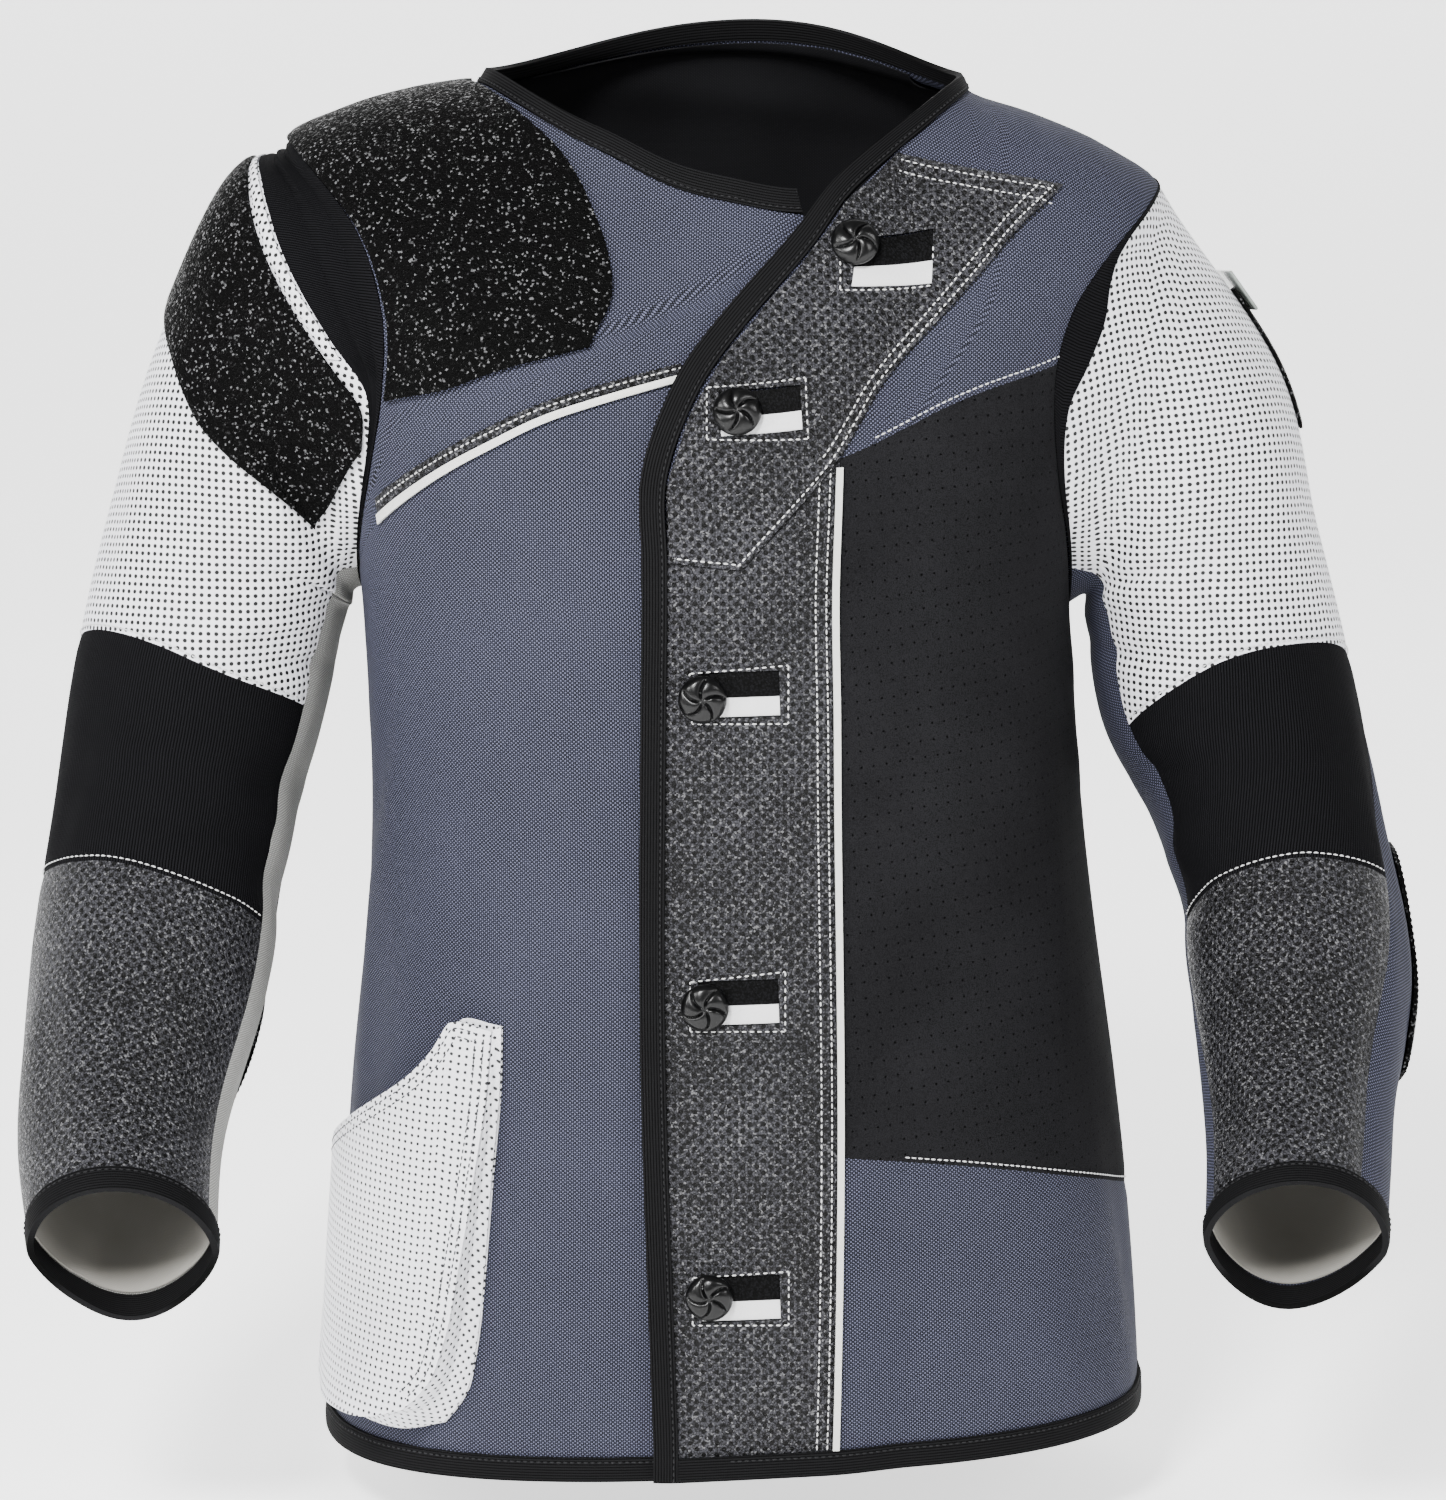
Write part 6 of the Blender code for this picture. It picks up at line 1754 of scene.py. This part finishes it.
@dataclass
class Sleeve:
    """Gusset, leather, elbow band and forearm in front, one canvas strip behind, and the cuff."""

    tailor: Tailor
    side: Side
    seam_row: float = 2.6

    def build(self) -> None:
        """Makes and dresses the sleeve."""
        tailor, jacket, side, word = self.tailor, self.tailor.jacket, self.side, self.side.word
        form = jacket.sleeves[side]
        self.gusset()
        inner, outer = INNER_SEAM[side], OUTER_SEAM[side]
        head_turns = armhole_turns(inner[0][1], outer[0][1])
        head = paired(head_turns, jacket.gusset_edge(side, head_turns))
        cells = len(head_turns) - 1
        top, end = across_sleeve(BAND_TOP[side], cells), across_sleeve(BAND_END[side], cells)
        cuff_in, cuff_out = (seam_line(seam, np.array([CUFF_SEAM]))[0] for seam in (inner, outer))
        cuff = cuff_rows(np.linspace(cuff_in, cuff_out, cells + 1), CUFF_TAPE)

        def edge(table: Table, start: Array, stop: Array, count: int) -> Array:
            """The seam's places between two ends.

            Args:
                table: The seam's table.
                start: First place.
                stop: Last place.
                count: Cells along it.

            Returns:
                Places from start to stop.
            """
            line = seam_line(table, np.linspace(start[1], stop[1], count + 1))
            line[0], line[-1] = start, stop
            return line

        for name, above, below, count, finish in (
            ("sleeve_leather", head, top, SLEEVE_CELLS[0], WHITE),
            ("elbow_band", top, end, SLEEVE_CELLS[1], KNIT),
            ("forearm", end, cuff, SLEEVE_CELLS[2], CHARCOAL),
        ):
            sides = (edge(inner, above[0], below[0], count), edge(outer, above[-1], below[-1], count))
            spots = patch(above, below, *sides)
            tailor.wall(f"{name}_{word}", form, spots, finish)
        back_turns = armhole_turns(outer[0][1], 360 + inner[0][1])
        back_head = paired(back_turns, jacket.gusset_edge(side, back_turns))
        back_cuff = cuff_rows(np.linspace(cuff_out, cuff_in + (360, 0), len(back_turns)), CUFF_TAPE)
        marks = (head, top, end, cuff)
        front_out = join(*(edge(outer, a[-1], b[-1], n) for a, b, n in zip(marks, marks[1:], SLEEVE_CELLS)))
        front_in = join(*(edge(inner, a[0], b[0], n) for a, b, n in zip(marks, marks[1:], SLEEVE_CELLS)))
        behind = patch(back_head, back_cuff, front_out, front_in + (360, 0))
        canvas = PALE_CANVAS if side is Side.RIGHT else CANVAS
        tailor.wall(f"sleeve_back_{word}", form, behind, canvas)
        rows = [curve(line, 50, TURN_MM)[1:-1] - (0, self.seam_row) for line in (top, end)]
        tailor.sew(f"stitches_band_{word}", form, rows, (f"sleeve_leather_{word}", f"elbow_band_{word}"))
        self.cuff(np.concatenate([spots, behind[-len(spots):, 1:-1]], axis=1))
        self.elbow_pad()

    def gusset(self) -> None:
        """Ring of stretch cloth that joins the sleeve to the armhole, tucked in along long folds."""
        jacket, form = self.tailor.jacket, self.tailor.jacket.sleeves[self.side]
        turns = armhole_turns(-90, 269)
        reach = jacket.gusset_edge(self.side, turns)
        shares = np.linspace(0, 1, 3)[:, None]
        spots = paired(np.broadcast_to(turns, (3, len(turns))), reach * shares)
        fine = refined(spots, form, ring=True)
        across = np.linspace(0, 1, fine.shape[0])[:, None]
        wide = jacket.gusset_edge(self.side, fine[0, :, 0])[None]
        tuck = -GUSSET_TUCK * np.maximum(wide - GUSSET_LEAST, 0) * np.sin(np.pi * across)
        fold = GUSSET_FOLD * np.cos(across * 2 * GUSSET_FOLDS * np.pi) * np.sin(np.pi * across)
        tuck = tuck - fold * ease((wide - 5) / 6)
        outer, inner = form.at(fine, tuck), form.at(fine, tuck - CLOTH)
        self.tailor.sheet(f"armhole_gusset_{self.side.word}", outer, inner, KNIT, ring=True)

    def cuff(self, whole: Array) -> None:
        """Tape round the cuff and the lining inside it.

        Args:
            whole: Places all round the forearm.
        """
        tailor, word, form = self.tailor, self.side.word, self.tailor.jacket.sleeves[self.side]
        seam = whole[-1]
        bound = np.stack([seam, cuff_rows(seam, 0.0)])
        tailor.tape(f"cuff_binding_{word}", form, bound, ring=True)
        lining = np.concatenate([whole[-CUFF_LINING_ROWS:-1], whole[-1:] - (0, 1.0)])
        tailor.wall(f"cuff_lining_{word}", form, lining, LINING, *CUFF_LINING, ring=True, dip=0)
        rows = [curve(np.concatenate([seam, seam[:1] + (360, 0)]), 120, TURN_MM) + (0, TAPE_STITCH)]
        tailor.sew(f"stitches_cuff_{word}", form, rows, (f"cuff_binding_{word}",), DARK_THREAD_AND_SHADOW)

    def elbow_pad(self) -> None:
        """Rubber pad behind the elbow, drawn in at its waist, with its stitched edge."""
        tailor, word, form = self.tailor, self.side.word, self.tailor.jacket.sleeves[self.side]
        start, stop, first, last = ELBOW_PAD[self.side]
        shares = np.linspace(0, 1, 11)[:, None]
        ends = ELBOW_PAD_ENDS * np.abs(2 * shares - 1) ** 6
        waist = 1 - ELBOW_PAD_WAIST * np.sin(np.pi * shares) ** 2 - ends
        turns = (start + stop) / 2 + (stop - start) / 2 * np.linspace(-1, 1, 11)[None, :] * waist
        spots = paired(turns, first + (last - first) * shares + 0 * turns)
        bases = (f"sleeve_back_{word}", f"sleeve_leather_{word}", f"elbow_band_{word}", f"forearm_{word}")
        tailor.overlay(f"elbow_pad_{word}", form, spots, bases, RUBBER_WALL, RUBBER, PAD_GAP)
        rows = [curve(line, 60, TURN_MM) for line in (spots[:, 0] + (1.6, 0), spots[:, -1] - (1.6, 0))]
        tailor.sew(f"stitches_pad_{word}", form, rows, (f"elbow_pad_{word}",), DARK_THREAD_AND_SHADOW)


@dataclass
class SleeveTrim:
    """Rubber pad and edge strip at the head of the right sleeve, sling strap and plate on the left one."""

    tailor: Tailor

    def build(self) -> None:
        """Makes and dresses the trim of both sleeves."""
        tailor, jacket = self.tailor, self.tailor.jacket
        form = jacket.sleeves[Side.RIGHT]
        turns = np.linspace(EDGE_STRIP_TURN, SLEEVE_PAD_END, 33)
        near = paired(turns, jacket.gusset_edge(-1, turns) + EDGE_STRIP_START)
        bases = ("sleeve_leather_right", "sleeve_back_right")
        strip = np.stack([near, near + (0, EDGE_STRIP_WIDTH)])
        tailor.overlay("sleeve_edge_strip_right", form, strip, bases, STRIP_WALL, WHITE)
        first = SLEEVE_PAD_INNER[0][0]
        turns = np.linspace(first, SLEEVE_PAD_END, 12)
        beside = EDGE_STRIP_WIDTH * ease((turns - first) / (EDGE_STRIP_TURN - first)) + EDGE_STRIP_START + 1
        bottom = paired(turns, jacket.gusset_edge(-1, turns) + beside)
        top = curve(SLEEVE_PAD_FAR, 11, TURN_MM)
        left = curve((bottom[0], SLEEVE_PAD_INNER[1], top[0]), 6, TURN_MM)
        right = curve((bottom[-1], top[-1]), 6, TURN_MM)
        spots = patch(bottom, top, left, right)
        tailor.overlay("sleeve_pad_right", form, spots, bases, RUBBER_WALL, RUBBER, PAD_GAP)
        self.strap()

    def strap(self) -> None:
        """Sling strap on the outer left sleeve and the clear plate at its top."""
        tailor, form = self.tailor, self.tailor.jacket.sleeves[Side.LEFT]
        turns = np.linspace(STRAP_TURN - STRAP_HALF, STRAP_TURN + STRAP_HALF, 4)
        spots = np.stack(np.meshgrid(turns, np.linspace(*STRAP_ROWS, 7)), axis=-1)
        bases = ("sleeve_leather_left", "sleeve_back_left")
        tailor.overlay("sling_strap", form, spots, bases, STRAP_WALL, RUBBER)
        spot = np.array([STRAP_TURN, STRAP_ROWS[0] + 1])
        place = form.at(spot, OVERLAY_GAP + STRAP_WALL + PLATE_RISE) * MM
        normal = Vector(form.outward(spot))
        down = Vector(unit(form.at(spot + (0, 6)) - form.at(spot)))
        down = (down - normal * down.dot(normal)).normalized()
        block = primitive(bpy.ops.mesh.primitive_cube_add, size=1)
        block.data.transform(Matrix.Diagonal((*(size * MM for size in PLATE_SIZE), 1)))
        bevel = block.modifiers.new("bevel", "BEVEL")
        bevel.width, bevel.segments = PLATE_BEVEL * MM, 3
        bpy.ops.object.modifier_apply(modifier=bevel.name)
        mesh = moved_mesh(block, place, normal.cross(down), -down, normal)
        tailor.keep("sling_plate", mesh, CLEAR)


@dataclass
class Pocket:
    """Bellows pocket: a back piece on the canvas, a face that stands off it, and the folded side between."""

    tailor: Tailor
    rows: tuple[float, float] = (3.0, 7.0)
    back_row: float = 2.2
    reach: float = 34.0

    def edges(self, outer: Sequence, low: Sequence, side: Sequence) -> Array:
        """The grid of places between a pocket piece's edges.

        Args:
            outer: Right edge as (across, row).
            low: Bottom edge.
            side: Left edge.

        Returns:
            A grid of places.
        """
        jacket = self.tailor.jacket
        right = curve(jacket.front(outer), 18)
        bottom = curve(jacket.front(low[::-1]), 24)
        left = curve(jacket.front(side[::-1]), 18)
        top = curve(np.concatenate([jacket.front(POCKET_MOUTH[::-1]), right[:1]]), 24)
        return patch(bottom, top, left, right[::-1])

    def build(self) -> None:
        """Makes and dresses the pocket."""
        tailor, jacket = self.tailor, self.tailor.jacket
        torso = jacket.torso
        back = self.edges(POCKET_OUTER, POCKET_LOW, POCKET_SIDE)
        tailor.overlay("pocket_back", torso, back, ("right_front",), POCKET_WALL, POCKET_WHITE, POCKET_GAP)
        face = self.edges(FACE_OUTER, FACE_LOW, FACE_SIDE)
        fine = refined(face, torso)
        up = np.linspace(0, 1, fine.shape[0])[:, None]
        across = np.linspace(0, 1, fine.shape[1])[None, :]
        seat = OVERLAY_GAP + POCKET_GAP + POCKET_WALL + POCKET_TOP_STAND
        sag = POCKET_LEFT_STAND + (POCKET_LOW_STAND - POCKET_LEFT_STAND) * ease(across * POCKET_SPREAD)
        stand = seat + sag * (1 - up) ** 0.8 + POCKET_MOUTH_STAND * np.sin(np.pi * across) * up ** 1.5
        tailor.sheet("pocket_face", torso.at(fine, stand + PATCH), torso.at(fine, stand), POCKET_WHITE)
        low = OVERLAY_GAP + POCKET_GAP + POCKET_WALL + SEAM_GAP
        line, face_line = (rim(refined(grid, torso)) for grid in (back, face))
        top = np.maximum(rim(stand) - BELLOWS_GAP, low + 1)
        shares = np.linspace(0, 1, 13)[:, None]
        depth = (top - low) / POCKET_LOW_STAND
        tuck = BELLOWS_TUCK * np.interp(shares, (0, 0.35, 0.7, 1), (0.1, 1, 0.4, 0.1)) * depth
        places = line + (face_line - line) * shares[..., None]
        inwards = unit((face.reshape(-1, 2).mean(axis=0) - places) * (COLUMN_MM, 1)) / (COLUMN_MM, 1)
        tucked = [places + inwards * (tuck + more)[..., None] for more in (0, POCKET_WALL)]
        sides = [torso.at(spots, low + (top - low) * shares) for spots in tucked]
        tailor.sheet("pocket_bellows", *sides, POCKET_WHITE)
        self.stitch(back, face)

    def stitch(self, back: Array, face: Array) -> None:
        """Double rows along the mouth and the right edges.

        Args:
            back: Places of the back piece.
            face: Places of the face.
        """
        tailor, jacket, torso = self.tailor, self.tailor.jacket, self.tailor.jacket.torso
        mouth, right = curve(face[-1], 50), curve(face[::-1, -1], 50)
        lines = [shifted(jacket, mouth, gap)[2:-2] for gap in self.rows]
        lines += [shifted(jacket, right, gap)[1:-1] for gap in self.rows]
        tailor.sew("stitches_pocket_face", torso, lines, ("pocket_face",), SHADED_POCKET_THREAD, reach=self.reach)
        edge = shifted(jacket, curve(back[::-1, -1], 50), self.back_row)
        tailor.sew("stitches_pocket_back", torso, [edge], ("pocket_back",), SHADED_POCKET_THREAD)


@dataclass
class Studio:
    """Camera, soft lights and a plain pale floor."""

    floor_size: float = 12.0
    backdrop: float = 3.0
    glow: float = 1.5
    sky: float = 0.28
    target: tuple[float, float, float] = (0.0, 0.0, -0.33)
    lights: tuple[tuple[tuple[float, float, float], float, float], ...] = (
        ((-0.8, -2.3, 1.6), 0.6, 185.0),
        ((-2.0, -1.5, 0.7), 0.8, 44.0),
        ((1.9, -1.7, 0.8), 0.8, 30.0),
        ((0.3, 1.6, 1.6), 1.8, 16.0),
    )

    def build(self) -> None:
        """Places everything round the jacket."""
        camera = placed("camera", bpy.data.cameras.new("camera"))
        camera.data.sensor_fit = "VERTICAL"
        camera.data.sensor_height, camera.data.lens = 36.0, CAMERA_LENS
        camera.location = CAMERA_PLACE
        aim = Vector(CAMERA_AIM) - Vector(CAMERA_PLACE)
        camera.rotation_euler = aim.to_track_quat("-Z", "Y").to_euler()
        bpy.context.scene.camera = camera
        for number, (place, size, power) in enumerate(self.lights):
            light = bpy.data.lights.new(f"soft_light_{number}", "AREA")
            light.shape, light.size, light.energy = "SQUARE", size, power
            lamp = placed(light.name, light)
            lamp.location = place
            lamp.rotation_euler = (Vector(self.target) - Vector(place)).to_track_quat("-Z", "Y").to_euler()
        world = bpy.data.worlds.new("studio")
        world.use_nodes = True
        sky = world.node_tree.nodes["Background"]
        Recipe(world.node_tree).fill(sky, {0: (1, 1, 1, 1), 1: self.sky})
        bpy.context.scene.world = world
        self.floor()

    def floor(self) -> None:
        """Floor and backdrop in one sheet with a round bend."""
        bend = [(self.backdrop + math.sin(t), 1 - math.cos(t)) for t in np.linspace(0, math.pi / 2, 12)]
        line = [(-self.floor_size / 2, 0.0), *bend, (self.backdrop + 1, self.floor_size / 2)]
        edges = (-self.floor_size / 2, self.floor_size / 2)
        points = [(x, y, FLOOR_HEIGHT + z) for x in edges for y, z in line]
        count = len(line)
        faces = [(k, k + count, k + count + 1, k + 1) for k in range(count - 1)]
        mesh = bpy.data.meshes.new("floor")
        mesh.from_pydata(points, [], faces)
        mesh.shade_smooth()
        pale = bpy.data.materials.new("pale floor")
        pale.use_nodes = True
        recipe = Recipe(pale.node_tree)
        cloud = recipe.add("TexNoise", recipe.add("TexCoord").outputs["Object"], inputs={"Scale": 1 / 0.4})
        recipe.fill(pale.node_tree.nodes["Principled BSDF"], {
            "Base Color": recipe.blend(cloud, linear("F4F4F4"), linear("FAFAFA")),
            "Roughness": 0.9,
            "Emission Color": (1, 1, 1, 1),
            "Emission Strength": self.glow,
        })
        mesh.materials.append(pale)
        floor = placed("floor", mesh)


def main() -> None:
    """Builds the jacket's sub-assemblies in order."""
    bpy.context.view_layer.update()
    tailor = Tailor(Jacket())
    sleeves = (Sleeve(tailor, side) for side in Side)
    fronts = (RightFront(tailor), LeftFront(tailor), Buttons(tailor))
    for part in (Back(tailor), *fronts, *sleeves, SleeveTrim(tailor), Pocket(tailor), Studio()):
        part.build()
        LOG.info("built %s", type(part).__name__)


if __name__ == "__main__":
    main()
